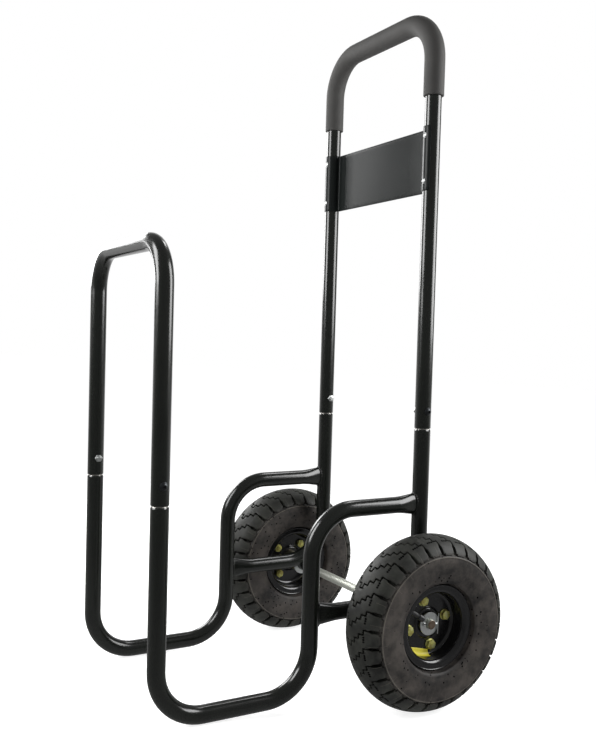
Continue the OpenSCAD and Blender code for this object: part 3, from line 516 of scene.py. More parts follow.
# Bright zinc plate: cool silver, with a fine grain and a little milkiness in its gloss.
zinc, tree, shader, spot = new_material("bright zinc plate", "#cdd0cf", 0.3, 1.0)
grain = add(tree, "ShaderNodeTexNoise", {"Scale": 350, "Detail": 4}, {"Vector": spot})
tone = add(tree, "ShaderNodeMix", {"data_type": "RGBA", 6: linear("#b3b7b6"), 7: linear("#dee0de")},
           {0: grain.outputs["Fac"]})
gloss = add(tree, "ShaderNodeMapRange", {"To Min": 0.22, "To Max": 0.4}, {"Value": grain.outputs["Fac"]})
tree.links.new(tone.outputs[2], shader.inputs["Base Color"])
tree.links.new(gloss.outputs["Result"], shader.inputs["Roughness"])


def hexagon(bm, across, low, high, chamfer):
    """Six-sided nut or head between two heights, its corners turned down at both faces."""
    corner_r = across / 2 / math.cos(math.pi / 6)
    ring = bmesh.ops.create_circle(bm, segments=6, radius=corner_r, cap_ends=True)["verts"]
    bmesh.ops.translate(bm, verts=ring, vec=(0, 0, low))
    faces = list({face for vert in ring for face in vert.link_faces})
    made = bmesh.ops.extrude_face_region(bm, geom=faces, use_keep_orig=True)["geom"]
    top = [part for part in made if isinstance(part, bmesh.types.BMVert)]
    bmesh.ops.translate(bm, verts=top, vec=(0, 0, high - low))
    ends = [edge for edge in bm.edges if abs(edge.verts[0].co.z - edge.verts[1].co.z) < 0.01
            and edge.verts[0] in ring + top and edge.verts[1] in ring + top]
    bmesh.ops.bevel(bm, geom=ends, offset=chamfer, segments=2, profile=0.5, affect="EDGES", material=-1)


def thread(radius, low, high, pitch=1.0):
    """Profile of a turned thread between two heights, as rings rather than a helix, with a flat end."""
    turns = round((high - low) / pitch)
    points = []
    for i in range(turns):
        points += [(radius, low + i * pitch), (radius - 0.45, low + (i + 0.5) * pitch)]
    return points + [(radius, high - 0.4), (radius - 0.5, high), (0, high)]


def joint_places(y, z):
    """Places of the bolts of one pair of joints: drawing +Z points out of the cart."""
    return [Matrix.Translation((side * side_x, y, z + bolt_rise))
            @ Matrix.Rotation(math.radians(side * 90), 4, "Y") for side in (1, -1)]


for name, y, z in (("front", front_y, front_joint_z), ("rear", rear_y, rear_joint_z)):
    bolt = bmesh.new()
    dome_r = (head_r ** 2 + head_h ** 2) / (2 * head_h)
    dome = [(x, tube_r + math.sqrt(dome_r ** 2 - x ** 2) - dome_r + head_h) for x in (2.4, 3.2, 4.1, 5, 5.6)]
    spin_profile(bolt, [(0, bolt_inner_end), (2.4, bolt_inner_end), (2.4, bolt_inner_end + 2),
                        (bolt_r, bolt_inner_end + 2), (bolt_r, tube_r), (head_r, tube_r),
                        (head_r, tube_r + 0.3)]
                 + dome[::-1] + [(2.1, tube_r + 3), (2.1, tube_r + 1.2), (0, tube_r + 1.2)])
    bm = bmesh.new()
    add_copies(bm, bolt, joint_places(y, z))
    make_piece(bm, name + "_bolts", stand, black_zinc, "frame", "dark_bolt", name + "_joint_bolts")

    nut = bmesh.new()
    hexagon(nut, nut_flats, -tube_r - nut_t, -tube_r - 0.05, 0.7)
    screw = thread(bolt_r, tube_r + 3, tube_r + nut_t + bolt_tail)
    spin_profile(nut, [(0, -tube_r - 3)] + [(r, -h) for r, h in screw])
    bm = bmesh.new()
    add_copies(bm, nut, joint_places(y, z))
    make_piece(bm, name + "_nuts", stand, zinc, "frame", "zinc", name + "_joint_nuts")

# ---- Axle ----
# A 14 mm zinc-plated rod runs through both sleeves and both wheels. Its sawn ends are bare steel with
# a trace of brown rust, and each end is cross-drilled for its split pin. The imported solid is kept.

# Dull zinc on drawn rod: greenish grey, with rust where the saw left bare steel.
axle_zinc, tree, shader, spot = new_material("dull zinc rod", "#cdd0c6", 0.5, 1.0)
grain = add(tree, "ShaderNodeTexNoise", {"Scale": 260, "Detail": 4}, {"Vector": spot})
plate = add(tree, "ShaderNodeMix", {"data_type": "RGBA", 6: linear("#bcbfb5"), 7: linear("#dcded5")},
            {0: grain.outputs["Fac"]})
where = add(tree, "ShaderNodeSeparateXYZ", {}, {0: spot})
from_middle = add(tree, "ShaderNodeMath", {"operation": "ABSOLUTE"}, {0: where.outputs["X"]})
sawn = add(tree, "ShaderNodeMapRange", {"From Min": axle_high[0] - 0.0012, "From Max": axle_high[0] - 0.0003},
           {"Value": from_middle.outputs[0]})
rust = add(tree, "ShaderNodeMix", {"data_type": "RGBA", 6: linear("#5f4a3a"), 7: linear("#8d8275")},
           {0: grain.outputs["Fac"]})
tone = add(tree, "ShaderNodeMix", {"data_type": "RGBA"},
           {0: sawn.outputs["Result"], 6: plate.outputs[2], 7: rust.outputs[2]})
gloss = add(tree, "ShaderNodeMapRange", {"To Min": 0.5, "To Max": 0.62}, {"Value": sawn.outputs["Result"]})
tree.links.new(tone.outputs[2], shader.inputs["Base Color"])
tree.links.new(gloss.outputs["Result"], shader.inputs["Roughness"])


def dress(name, material):
    """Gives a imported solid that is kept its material."""
    piece = frame["nodes"][name]
    piece.data.materials.clear()
    piece.data.materials.append(material)


dress("axle", axle_zinc)

# ---- Axle washers ----
# Plain stamped washers on both sides of each hub: rounded on the punch side, zinc plated.
wheel_x = 207.25
inner_washer, outer_washer = -52.4, 8.6
washer_r, washer_bore_r, washer_t = 17, 7.2, 1.8

washer = bmesh.new()
spin_profile(washer, [(washer_bore_r, 0), (16.6, 0), (washer_r, 0.2), (washer_r, washer_t - 0.6),
                      (16.8, washer_t - 0.2), (16.3, washer_t), (7.6, washer_t),
                      (washer_bore_r, washer_t - 0.3), (washer_bore_r, 0)], 64)
bm = bmesh.new()
add_copies(bm, washer, [Matrix.Translation((side * (wheel_x + at), axle_y, axle_z))
                        @ Matrix.Rotation(math.radians(side * 90), 4, "Y")
                        for side in (1, -1) for at in (inner_washer, outer_washer)])
make_piece(bm, "washers", Matrix(), zinc, "frame", "zinc", "axle_washers")

# ---- Split pins ----
# Half-round wire folded to an eye and pushed through the axle outside each outer washer. Behind the
# axle its two legs are bent apart, up and down. Zinc plated.
pin_x = wheel_x + outer_washer + washer_t + 1.7
wire_r = 0.75

pin = bmesh.new()
ring = start_ring(pin, 14.25, 15.2, -90, wire_r, 12)
bmesh.ops.edgeloop_fill(pin, edges=ring)
ring = run_on(pin, ring, 0, -12.2)
ring = bend(pin, ring, 12, 3, -90)
ring = run_on(pin, ring, -20, 0)
ring = bend(pin, ring, -8, 1.6, -35)
ring = run_on(pin, ring, -1.2, 0.85)
bend(pin, ring, -10.7, -0.03, 125)
bmesh.ops.mirror(pin, geom=pin.verts[:] + pin.edges[:] + pin.faces[:], axis="Y", merge_dist=0.05)
bm = bmesh.new()
to_side = Matrix(((0, 0, 1, 0), (1, 0, 0, 0), (0, 1, 0, 0), (0, 0, 0, 1)))
add_copies(bm, pin, [Matrix.Translation((side * pin_x, axle_y, axle_z)) @ to_side for side in (1, -1)])
make_piece(bm, "cotters", Matrix(), zinc, "frame", "zinc", "split_pins", sharp=60)

# ---- Tyres ----
# Air-filled 260 mm tyres of moulded rubber. Narrow grooves climb the tread in small steps, like stairs,
# and part thirty bars, which wrap the round shoulders as lugs with blunt ends over a fine parting ring.
# Each bead sits in the rim behind its flange.
wheel_r, tread_w, tread_fall, groove_depth, groove_w = 130, 60, 10.5, 4.5, 2.2
lugs = 30
pitch = math.tau * wheel_r / lugs
ring_r = 104
vent_x, vent_r, vent_gap, vent_row = 229.5, 1.5, 3.4, 9.6

# Tyre rubber: charcoal, greenish on the tread and warm with dust on the flanks, which lies in clouds
# 30 mm across. It has a fine skin, pin holes, pale parting lines, and three vent holes on each shoulder
# lug. The holes have no hollow in the mesh: the shade inside them is painted, near black and without shine.
# Their real size isn't known: they are drawn 3 mm wide, as coarse as they need to show.
rubber, tree, shader, spot = new_material("tyre rubber", "#34322f", 0.62)
film = add(tree, "ShaderNodeTexNoise", {"Scale": 34, "Detail": 6, "Roughness": 0.7}, {"Vector": spot})
blotch = add(tree, "ShaderNodeMapRange", {"From Min": 0.36, "From Max": 0.64}, {"Value": film.outputs["Fac"]})
skin = add(tree, "ShaderNodeTexNoise", {"Scale": 700, "Detail": 3}, {"Vector": spot})
pins = add(tree, "ShaderNodeTexVoronoi", {"Scale": 150}, {"Vector": spot})
lay = add(tree, "ShaderNodeUVMap", {"uv_map": "wheel"})
lay = add(tree, "ShaderNodeSeparateXYZ", {}, {0: lay.outputs["UV"]})
where = add(tree, "ShaderNodeSeparateXYZ", {}, {0: spot})
side_on = add(tree, "ShaderNodeMath", {"operation": "ABSOLUTE"}, {0: where.outputs["X"]})
off_middle = add(tree, "ShaderNodeMath", {"operation": "MULTIPLY_ADD", 1: 1000, 2: -vent_x},
                 {0: side_on.outputs[0]})
turned = add(tree, "ShaderNodeMath", {"operation": "MULTIPLY", 1: lugs}, {0: lay.outputs["X"]})
part = add(tree, "ShaderNodeMath", {"operation": "FRACT"}, {0: turned.outputs[0]})
along = add(tree, "ShaderNodeMath", {"operation": "MULTIPLY_ADD", 1: pitch, 2: -pitch / 2},
            {0: part.outputs[0]})
three = add(tree, "ShaderNodeMath", {"operation": "WRAP", 1: vent_gap / 2, 2: -vent_gap / 2},
            {0: along.outputs[0]})
vent_at = add(tree, "ShaderNodeCombineXYZ", {}, {0: three.outputs[0], 1: off_middle.outputs[0]})
vent_far = add(tree, "ShaderNodeVectorMath", {"operation": "LENGTH"}, {0: vent_at.outputs[0]})
vent = add(tree, "ShaderNodeMath", {"operation": "LESS_THAN", 1: vent_r}, {0: vent_far.outputs["Value"]})
trio = add(tree, "ShaderNodeMath", {"operation": "COMPARE", 1: 0, 2: vent_row / 2}, {0: along.outputs[0]})
vents = add(tree, "ShaderNodeMath", {"operation": "MULTIPLY"}, {0: vent.outputs[0], 1: trio.outputs[0]})
near_pin = add(tree, "ShaderNodeMath", {"operation": "LESS_THAN", 1: 0.19}, {0: pins.outputs["Distance"]})
few = add(tree, "ShaderNodeSeparateXYZ", {}, {0: pins.outputs["Color"]})
chosen = add(tree, "ShaderNodeMath", {"operation": "GREATER_THAN", 1: 0.45}, {0: few.outputs["X"]})
pin = add(tree, "ShaderNodeMath", {"operation": "MULTIPLY"}, {0: near_pin.outputs[0], 1: chosen.outputs[0]})
flank = add(tree, "ShaderNodeMapRange", {"From Min": 0.102, "From Max": 0.112, "To Min": 1, "To Max": 0},
            {"Value": lay.outputs["Y"]})
flank_pin = add(tree, "ShaderNodeMath", {"operation": "MULTIPLY"}, {0: pin.outputs[0], 1: flank.outputs[0]})
holes_painted_dark = add(tree, "ShaderNodeMath", {"operation": "MAXIMUM"}, {0: flank_pin.outputs[0], 1: vents.outputs[0]})
parting = add(tree, "ShaderNodeMath", {"operation": "COMPARE", 1: ring_r / 1000, 2: 0.0006},
              {0: lay.outputs["Y"]})
wedges = add(tree, "ShaderNodeMath", {"operation": "MULTIPLY", 1: 24}, {0: lay.outputs["X"]})
wedge = add(tree, "ShaderNodeMath", {"operation": "FRACT"}, {0: wedges.outputs[0]})
ray = add(tree, "ShaderNodeMath", {"operation": "COMPARE", 1: 0.5, 2: 0.007}, {0: wedge.outputs[0]})
ray_part = add(tree, "ShaderNodeMath", {"operation": "COMPARE", 1: 0.108, 2: 0.012}, {0: lay.outputs["Y"]})
rays = add(tree, "ShaderNodeMath", {"operation": "MULTIPLY"}, {0: ray.outputs[0], 1: ray_part.outputs[0]})
lines = add(tree, "ShaderNodeMath", {"operation": "MAXIMUM"}, {0: parting.outputs[0], 1: rays.outputs[0]})
faint = add(tree, "ShaderNodeMath", {"operation": "MULTIPLY"}, {0: lines.outputs[0], 1: film.outputs["Fac"]})
dust = add(tree, "ShaderNodeMix", {"data_type": "RGBA", 6: linear("#151312"), 7: linear("#3c3733")},
           {0: blotch.outputs["Result"]})
tread_tone = add(tree, "ShaderNodeMix", {"data_type": "RGBA", 6: linear("#11120f"), 7: linear("#2a2b26")},
                 {0: blotch.outputs["Result"]})
tone = add(tree, "ShaderNodeMix", {"data_type": "RGBA"},
           {0: flank.outputs[0], 6: tread_tone.outputs[2], 7: dust.outputs[2]})
tone = add(tree, "ShaderNodeMix", {"data_type": "RGBA", 7: linear("#5d5850")},
           {0: faint.outputs[0], 6: tone.outputs[2]})
# Painted shade: the pin and vent holes are painted near black for the depth they don't have.
tone = add(tree, "ShaderNodeMix", {"data_type": "RGBA", 7: linear("#020202")},
           {0: holes_painted_dark.outputs[0], 6: tone.outputs[2]})
gloss = add(tree, "ShaderNodeMapRange", {"To Min": 0.48, "To Max": 0.68}, {"Value": film.outputs["Fac"]})
# Painted shade: the holes also lose their shine, so they read as dark hollows.
shine = add(tree, "ShaderNodeMapRange", {"To Min": 0.34, "To Max": 0}, {"Value": holes_painted_dark.outputs[0]})
tree.links.new(shine.outputs["Result"], shader.inputs["Specular IOR Level"])
pits = add(tree, "ShaderNodeBump", {"invert": True, "Strength": 0.6, "Distance": 0.0008},
           {"Height": holes_painted_dark.outputs[0]})
bump = add(tree, "ShaderNodeBump", {"Strength": 0.4, "Distance": 0.00025},
           {"Height": skin.outputs["Fac"], "Normal": pits.outputs["Normal"]})
tree.links.new(tone.outputs[2], shader.inputs["Base Color"])
tree.links.new(gloss.outputs["Result"], shader.inputs["Roughness"])
tree.links.new(bump.outputs["Normal"], shader.inputs["Normal"])

spins = {"left": 195.7, "right": 53.1}


def wheel_place(side, name):
    """Drawing +Z becomes the outward axis of one wheel; the right wheel is the left one's mirror image."""
    place = (Matrix.Translation((wheel_x, 0, 0)) @ Matrix.Rotation(math.radians(90), 4, "Y")
             @ Matrix.Rotation(math.radians(spins[name]), 4, "Z"))
    mirror = Matrix.Scale(side, 4, (1, 0, 0))
    return Matrix.Translation((0, axle_y, axle_z)) @ mirror @ place


def flank_reach(r):
    """Distance of the sidewall from the middle plane at radius r."""
    part = abs(r - 91.98) / (35 if r > 91.98 else 41.98)
    rib = 0.6 * math.exp(-((r - 68) / 1.8) ** 2) + 0.6 * math.exp(-((r - ring_r) / 0.9) ** 2)
    return 41 * (1 - part ** 2.5) ** 0.4 - 0.6 + rib


# Half of the outer skin from the bead to the middle, as place (s, r) and depth of the groove under it.
skin_line = [(18.4, 50.9, 0)] + [(s, r, 0) for s, r in arc(20.3, 55.5, 4.6, -90, 0, 5)]
skin_line += [(s, r, 0) for s, r in arc(29.75, 59.32, 4.85, 180, 90, 6)]
skin_line += [(flank_reach(r), r, 0) for r in [65 + 1.5 * i for i in range(28)]]
shoulder_row = len(skin_line)
skin_line += [(38.6, 106.8, 2), (37.5, 109.4, 2.6), (35.9, 112.3, 3.1), (33.6, 115.3, 3.6), (30.9, 118, 4.1)]
tread_row = len(skin_line)
skin_line += [(s, wheel_r - tread_fall * (2 * s / tread_w) ** 2, groove_depth)
              for s in (27.6, 25, 22.4, 20.2, 17.8, 15.4, 13.2, 10.8, 8.4, 6.2, 3.7, 1.2)]
skin_line += [(-s, r, depth) for s, r, depth in skin_line[::-1]]
ridge = [Vector((s, r)) for s, r, depth in skin_line]
slopes = [(ridge[min(i + 1, len(ridge) - 1)] - ridge[max(i - 1, 0)]).normalized() for i in range(len(ridge))]
outward = [Vector((-slope.y, slope.x)) for slope in slopes]
outward = [-n if n.dot(at - Vector((0, 92))) < 0 else n for n, at in zip(outward, ridge)]
floor_line = [at - n * part[2] for at, n, part in zip(ridge, outward, skin_line)]
hollow = [(-18.4, 66)] + [(36 * math.cos(math.radians(a)), 91.9 + 28 * math.sin(math.radians(a)))
                          for a in range(234, -55, -12)] + [(18.4, 66)]
profile = [tuple(at) for at in floor_line] + hollow + [tuple(floor_line[0])]
half_w = groove_w / 2
columns = [(i + part / 4) * pitch + at for i in range(lugs) for part in range(4) for at in (-half_w, half_w)]
columns.append(columns[0] + lugs * pitch)
stair = (0, 2, 4, 6, 8, 6, 4, 2)


def is_bar(row, column):
    """True where a face is the top of a tread bar or a lug, and not the floor of a groove."""
    from_edge = min(row, len(skin_line) - 2 - row)
    if from_edge < shoulder_row:
        return False
    step, part = divmod(row - tread_row, 3)
    low = high = stair[min(max(step, 0), 7)]
    if from_edge >= tread_row and part == 2:
        low, high = sorted(stair[step:step + 2])
    if from_edge == shoulder_row:
        low, high = low - 1, high + 1
    return not any(low <= column % 8 + turn <= high for turn in (-8, 0, 8))


def widening(row, edge):
    """How far a groove's edge stands off its line on the shoulders, where the gaps between lugs open."""
    from_edge = min(row, len(skin_line) - 1 - row)
    if not shoulder_row <= from_edge < tread_row:
        return 0
    left = stair[0] if row < len(skin_line) / 2 else stair[-1]
    return {left: -1.7, left + 1: 1.7}.get(edge % 8, 0)


for side, name in ((1, "left"), (-1, "right")):
    bm = bmesh.new()
    rows, turns = len(profile) - 1, len(columns) - 1
    bmesh.ops.create_grid(bm, x_segments=turns, y_segments=rows, size=1)
    lay_row = bm.verts.layers.int.new("row")
    raised = []
    for face in bm.faces:
        middle = face.calc_center_median()
        if is_bar(int((middle.y + 1) / 2 * rows), int((middle.x + 1) / 2 * turns)):
            raised.append(face)
    for vert in bm.verts:
        edge = round((vert.co.x + 1) / 2 * turns)
        vert[lay_row] = round((vert.co.y + 1) / 2 * rows)
        angle = (columns[edge] + widening(vert[lay_row], edge)) / wheel_r
        s, r = profile[vert[lay_row]]
        vert.co = (r * math.cos(angle), r * math.sin(angle), s)
    made = bmesh.ops.extrude_face_region(bm, geom=raised)["geom"]
    tops = [part for part in made if isinstance(part, bmesh.types.BMVert)]
    for vert in tops:
        out = Vector((vert.co.x, vert.co.y, 0)).normalized()
        lift = outward[vert[lay_row]] * skin_line[vert[lay_row]][2]
        vert.co += out * lift.y + Vector((0, 0, lift.x))
    bmesh.ops.remove_doubles(bm, verts=bm.verts, dist=0.001)
    bmesh.ops.recalc_face_normals(bm, faces=bm.faces)
    tops = {vert for vert in tops if vert.is_valid}
    rims = [edge for edge in bm.edges if tops.issuperset(edge.verts)
            and edge.is_manifold and edge.calc_face_angle() > math.radians(50)]
    bmesh.ops.bevel(bm, geom=rims, offset=0.5, segments=2, profile=0.5, affect="EDGES", material=-1)
    uv = bm.loops.layers.uv.new("wheel")
    for face in bm.faces:
        middle = face.calc_center_median()
        centre = math.atan2(middle.y, middle.x)
        for loop in face.loops:
            angle = math.atan2(loop.vert.co.y, loop.vert.co.x)
            angle += math.tau * round((centre - angle) / math.tau)
            loop[uv].uv = (angle / math.tau + 1, loop.vert.co.xy.length / 1000)
    make_piece(bm, name + "_lugged_tyre", wheel_place(side, name), rubber, name + "_wheel", "tyre_rubber",
               name + "_tyre", sharp=40)

# ---- Rims ----
# Each wheel has two stamped halves of 2.5 mm sheet, bolted back to back: a raised collar that grips
# the hub, a flat disc, a deep dish up to the bead seat, and a rolled flange. Gloss black paint.
seat_r, rim_t = 50.8, 2.5

# Gloss paint: deep black with sharp reflections, thin enough to show the steel's waviness.
rim_paint, tree, shader, spot = new_material("gloss black paint", "#0c0c0d", 0.16)
wave = add(tree, "ShaderNodeTexNoise", {"Scale": 120, "Detail": 2}, {"Vector": spot})
gloss = add(tree, "ShaderNodeMapRange", {"To Min": 0.12, "To Max": 0.24}, {"Value": wave.outputs["Fac"]})
bump = add(tree, "ShaderNodeBump", {"Strength": 0.12, "Distance": 0.0003}, {"Height": wave.outputs["Fac"]})
tree.links.new(gloss.outputs["Result"], shader.inputs["Roughness"])
tree.links.new(bump.outputs["Normal"], shader.inputs["Normal"])

wall = seat_r - rim_t / 2
sheet_line = [(15.05, 4.25), (19.5, 4.25), (20.6, 3.9), (21.4, 3.1), (22.4, 1.9), (23.8, 1.35), (25, 1.25)]
sheet_line += [(r, s) for s, r in arc(8.25, wall - 7, 7, 180, 90, 10)]
sheet_line += [(r, s) for s, r in arc(20.75, wall + 6, 6, -90, 0, 10)]
sheet_line += [(r, s) for s, r in arc(29.75, 59.32, 3, 180, 120, 5)]
for side, name in ((1, "left"), (-1, "right")):
    for half_name, flip in (("outer", 1), ("inner", -1)):
        bm = bmesh.new()
        spin_profile(bm, sheet_line, 96)
        bm.transform(Matrix.Scale(flip, 4, (0, 0, 1)))
        rim = make_piece(bm, f"{name}_{half_name}_rim_half", wheel_place(side, name), rim_paint,
                         name + "_wheel", "rim_gloss", f"{name}_rim_{half_name}")
        thicken(rim, rim_t)
        soften_edges(rim, 0.6, 3, 50)

# ---- Hubs, bearings and inner tubes ----
# A zinc-plated tube forms each hub, with a flanged ball bearing pressed into either end, and a butyl
# inner tube fills the tyre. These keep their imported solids.

# Yellowish zinc on the hub: pale straw metal with a soft grain.
hub_zinc, tree, shader, spot = new_material("yellowish hub zinc", "#bdb898", 0.38, 1.0)
grain = add(tree, "ShaderNodeTexNoise", {"Scale": 200, "Detail": 4}, {"Vector": spot})
tone = add(tree, "ShaderNodeMix", {"data_type": "RGBA", 6: linear("#a9a383"), 7: linear("#cfcbb2")},
           {0: grain.outputs["Fac"]})
tree.links.new(tone.outputs[2], shader.inputs["Base Color"])

# Butyl: black, smooth and slightly greasy, with a bloom.
butyl, tree, shader, spot = new_material("butyl rubber", "#1b1b1c", 0.48)
bloom = add(tree, "ShaderNodeTexNoise", {"Scale": 90, "Detail": 4}, {"Vector": spot})
tone = add(tree, "ShaderNodeMix", {"data_type": "RGBA", 6: linear("#161617"), 7: linear("#252526")},
           {0: bloom.outputs["Fac"]})
tree.links.new(tone.outputs[2], shader.inputs["Base Color"])

for name in ("left", "right"):
    dress(name + "_hub", hub_zinc)
    dress(name + "_bearings", zinc)
    dress(name + "_inner_tube", butyl)

# ---- Rim bolts and nuts ----
# Four M8 bolts with flanged hexagon heads clamp the two rim halves of each wheel, with plain nuts on
# the inner side. Yellow passivated zinc.
rim_bolt_circle_r, rim_bolt_r, rim_bolt_flats = 34, 4, 13

# Yellow passivate: green-yellow metal that drifts from brown to pale straw over about six millimetres.
yellow_zinc, tree, shader, spot = new_material("yellow passivated zinc", "#cfcc98", 0.5, 1.0)
drift = add(tree, "ShaderNodeTexNoise", {"Scale": 160, "Detail": 3}, {"Vector": spot})
tone = add(tree, "ShaderNodeValToRGB", {}, {"Fac": drift.outputs["Fac"]})
tone.color_ramp.elements[0].position = 0.3
tone.color_ramp.elements[0].color = linear("#ac9560")
tone.color_ramp.elements[1].position = 0.7
tone.color_ramp.elements[1].color = linear("#e6e6ac")
middle = tone.color_ramp.elements.new(0.5)
middle.color = linear("#d4d27c")
tree.links.new(tone.outputs["Color"], shader.inputs["Base Color"])

rim_bolt_places = [Matrix.Rotation(math.radians(90 * i), 4, "Z")
                   @ Matrix.Translation((rim_bolt_circle_r, 0, 0)) for i in range(4)]
for side, name in ((1, "left"), (-1, "right")):
    bolt = bmesh.new()
    spin_profile(bolt, [(0, rim_t), (8.1, rim_t), (8.1, rim_t + 0.5), (6.2, rim_t + 1.4), (0, rim_t + 1.4)])
    hexagon(bolt, rim_bolt_flats, rim_t + 1.2, rim_t + 5.4, 0.7)
    spin_profile(bolt, [(0, rim_t)] + [(r, -h) for r, h in thread(rim_bolt_r, -rim_t, 11.4, 1.25)])
    bm = bmesh.new()
    add_copies(bm, bolt, rim_bolt_places)
    make_piece(bm, name + "_bolt_set", wheel_place(side, name), yellow_zinc, name + "_wheel", "yellow_zinc",
               name + "_rim_bolts")
    nut = bmesh.new()
    hexagon(nut, rim_bolt_flats, -rim_t - 6.4, -rim_t, 0.9)
    bm = bmesh.new()
    add_copies(bm, nut, rim_bolt_places)
    make_piece(bm, name + "_nut_set", wheel_place(side, name), yellow_zinc, name + "_wheel", "yellow_zinc",
               name + "_rim_nuts")

# ---- Valves ----
# The inner tube's moulded rubber stem comes in through the bead seat between two bolts, leaning
# outwards, and ends in a ribbed black plastic cap.
valve_offset, valve_lean, cap_ribs = 15.5, 8, 24

# Cap plastic: hard black, half matt, with a faint moulding grain.
cap_plastic, tree, shader, spot = new_material("cap plastic", "#202122", 0.4)
grain = add(tree, "ShaderNodeTexNoise", {"Scale": 900, "Detail": 2}, {"Vector": spot})
bump = add(tree, "ShaderNodeBump", {"Strength": 0.2, "Distance": 0.0001}, {"Height": grain.outputs["Fac"]})
tree.links.new(bump.outputs["Normal"], shader.inputs["Normal"])

valve_place = (Matrix.Rotation(math.radians(45), 4, "Z") @ Matrix.Translation((seat_r, 0, valve_offset))
               @ Matrix.Rotation(math.radians(valve_lean - 90), 4, "Y"))
for side, name in ((1, "left"), (-1, "right")):
    bm = bmesh.new()
    spin_profile(bm, [(0, 0.7), (4, 0.7), (4, 2.6), (5, 3), (5, 4.4), (4.2, 5), (3.9, 9), (3.7, 15),
                      (3.4, 18.6), (2.9, 19.5), (2.55, 19.6), (2.55, 26), (0, 26)], 32)
    make_piece(bm, name + "_stem", wheel_place(side, name) @ valve_place, butyl, name + "_wheel", "butyl",
               name + "_valve_stem")
    bm = bmesh.new()
    spin_profile(bm, [(0, 21), (2.6, 21), (2.6, 19.6), (4.3, 19.6), (4.6, 20), (4.6, 27.6), (4.4, 28.4),
                      (3.6, 29.3), (2, 29.5), (0, 29.5)], 2 * cap_ribs)
    for vert in bm.verts:
        if 19.8 < vert.co.z < 28 and vert.co.xy.length > 4:
            notch = 1 - 0.05 * (round(math.atan2(vert.co.y, vert.co.x) / math.tau * 2 * cap_ribs) % 2)
            vert.co.x *= notch
            vert.co.y *= notch
    make_piece(bm, name + "_ribbed_cap", wheel_place(side, name) @ valve_place, cap_plastic, name + "_wheel",
               "cap_plastic", name + "_valve_cap")

# ---- Rim label ----
# A blank yellow paper-and-film label is stuck inside the left wheel's dish, its lower half bent up
# the wall. Semi-gloss film, 13 mm high and 34 to 40 mm wide.
label_t, label_gap = 0.12, 0.12
label_low, label_half_h, label_half_w, label_taper = 38.3, 6.5, 18.6, 1.6

# Label film: clean yellow with a half gloss, a little paler where it has faded.
label, tree, shader, spot = new_material("yellow label film", "#ded238", 0.38)
fade = add(tree, "ShaderNodeTexNoise", {"Scale": 60, "Detail": 3}, {"Vector": spot})
tone = add(tree, "ShaderNodeMix", {"data_type": "RGBA", 6: linear("#d6ca34"), 7: linear("#e8dd4c")},
           {0: fade.outputs["Fac"]})
tree.links.new(tone.outputs[2], shader.inputs["Base Color"])

film_r = 7 - rim_t / 2 - label_gap
bm = bmesh.new()
grid = bmesh.ops.create_grid(bm, x_segments=24, y_segments=14, size=1)["verts"]
for vert in grid:
    flat = Vector((label_low + label_half_h * (1 - vert.co.y),
                   -3.4 + (label_half_w - label_taper * vert.co.y) * vert.co.x))
    angle = math.atan2(flat.y, flat.x) + math.radians(-11 - spins["left"])
    turn = min(max((flat.length - wall + 7) / film_r, 0), math.pi / 2)
    up_wall = max(flat.length - wall + 7 - film_r * math.pi / 2, 0)
    r = min(flat.length, wall - 7) + film_r * math.sin(turn)
    height = rim_t + label_gap + film_r * (1 - math.cos(turn)) + up_wall
    vert.co = (r * math.cos(angle), r * math.sin(angle), height)
sticker = make_piece(bm, "blank_label", wheel_place(1, "left"), label, "left_wheel", "yellow_zinc", sharp=60)
thicken(sticker, label_t)

# ---- Studio ----
# Plain pale floor before a white sweep, in a dim room, which keeps the fronts of the black tubes dark.
# A softbox on either side, its lower edge 0.6 m up, draws stripes that fade down the tubes. A
# small one above lights the rails, and one beside the sweep lights the front hoop's crossbar.


def light_path_mix(tree, lit, seen, mirrored):
    """One shader to diffuse rays, one to the camera, and one to glossy and transmission rays."""
    path = add(tree, "ShaderNodeLightPath")
    bounced = add(tree, "ShaderNodeMath", {"operation": "ADD", "use_clamp": True},
                  {0: path.outputs["Is Glossy Ray"], 1: path.outputs["Is Transmission Ray"]})
    unseen = add(tree, "ShaderNodeMixShader", {},
                 {0: bounced.outputs[0], 1: lit.outputs[0], 2: mirrored.outputs[0]})
    return add(tree, "ShaderNodeMixShader", {},
               {0: path.outputs["Is Camera Ray"], 1: unseen.outputs[0], 2: seen.outputs[0]})


scene = bpy.context.scene
world = bpy.data.worlds.new("white room")
scene.world = world
world.use_nodes = True
tree = world.node_tree
lit = add(tree, "ShaderNodeBackground", {"Color": (1, 1, 1, 1), "Strength": 0.3})
seen = add(tree, "ShaderNodeBackground", {"Color": (1, 1, 1, 1), "Strength": 1.0})
sweep_way = (-0.868, 0.496, 0)
way = add(tree, "ShaderNodeTexCoord").outputs["Object"]
ahead = add(tree, "ShaderNodeVectorMath", {"operation": "DOT_PRODUCT", 1: sweep_way}, {0: way})
sweep = add(tree, "ShaderNodeMapRange",
            {"interpolation_type": "SMOOTHSTEP", "From Min": 0.7, "From Max": 0.93,
             "To Min": 0.25, "To Max": 1.0},
            {"Value": ahead.outputs["Value"]})
mirrored = add(tree, "ShaderNodeBackground", {"Color": (1, 1, 1, 1)}, {"Strength": sweep.outputs["Result"]})
mixed = light_path_mix(tree, lit, seen, mirrored)
tree.links.new(mixed.outputs[0], tree.nodes["World Output"].inputs["Surface"])

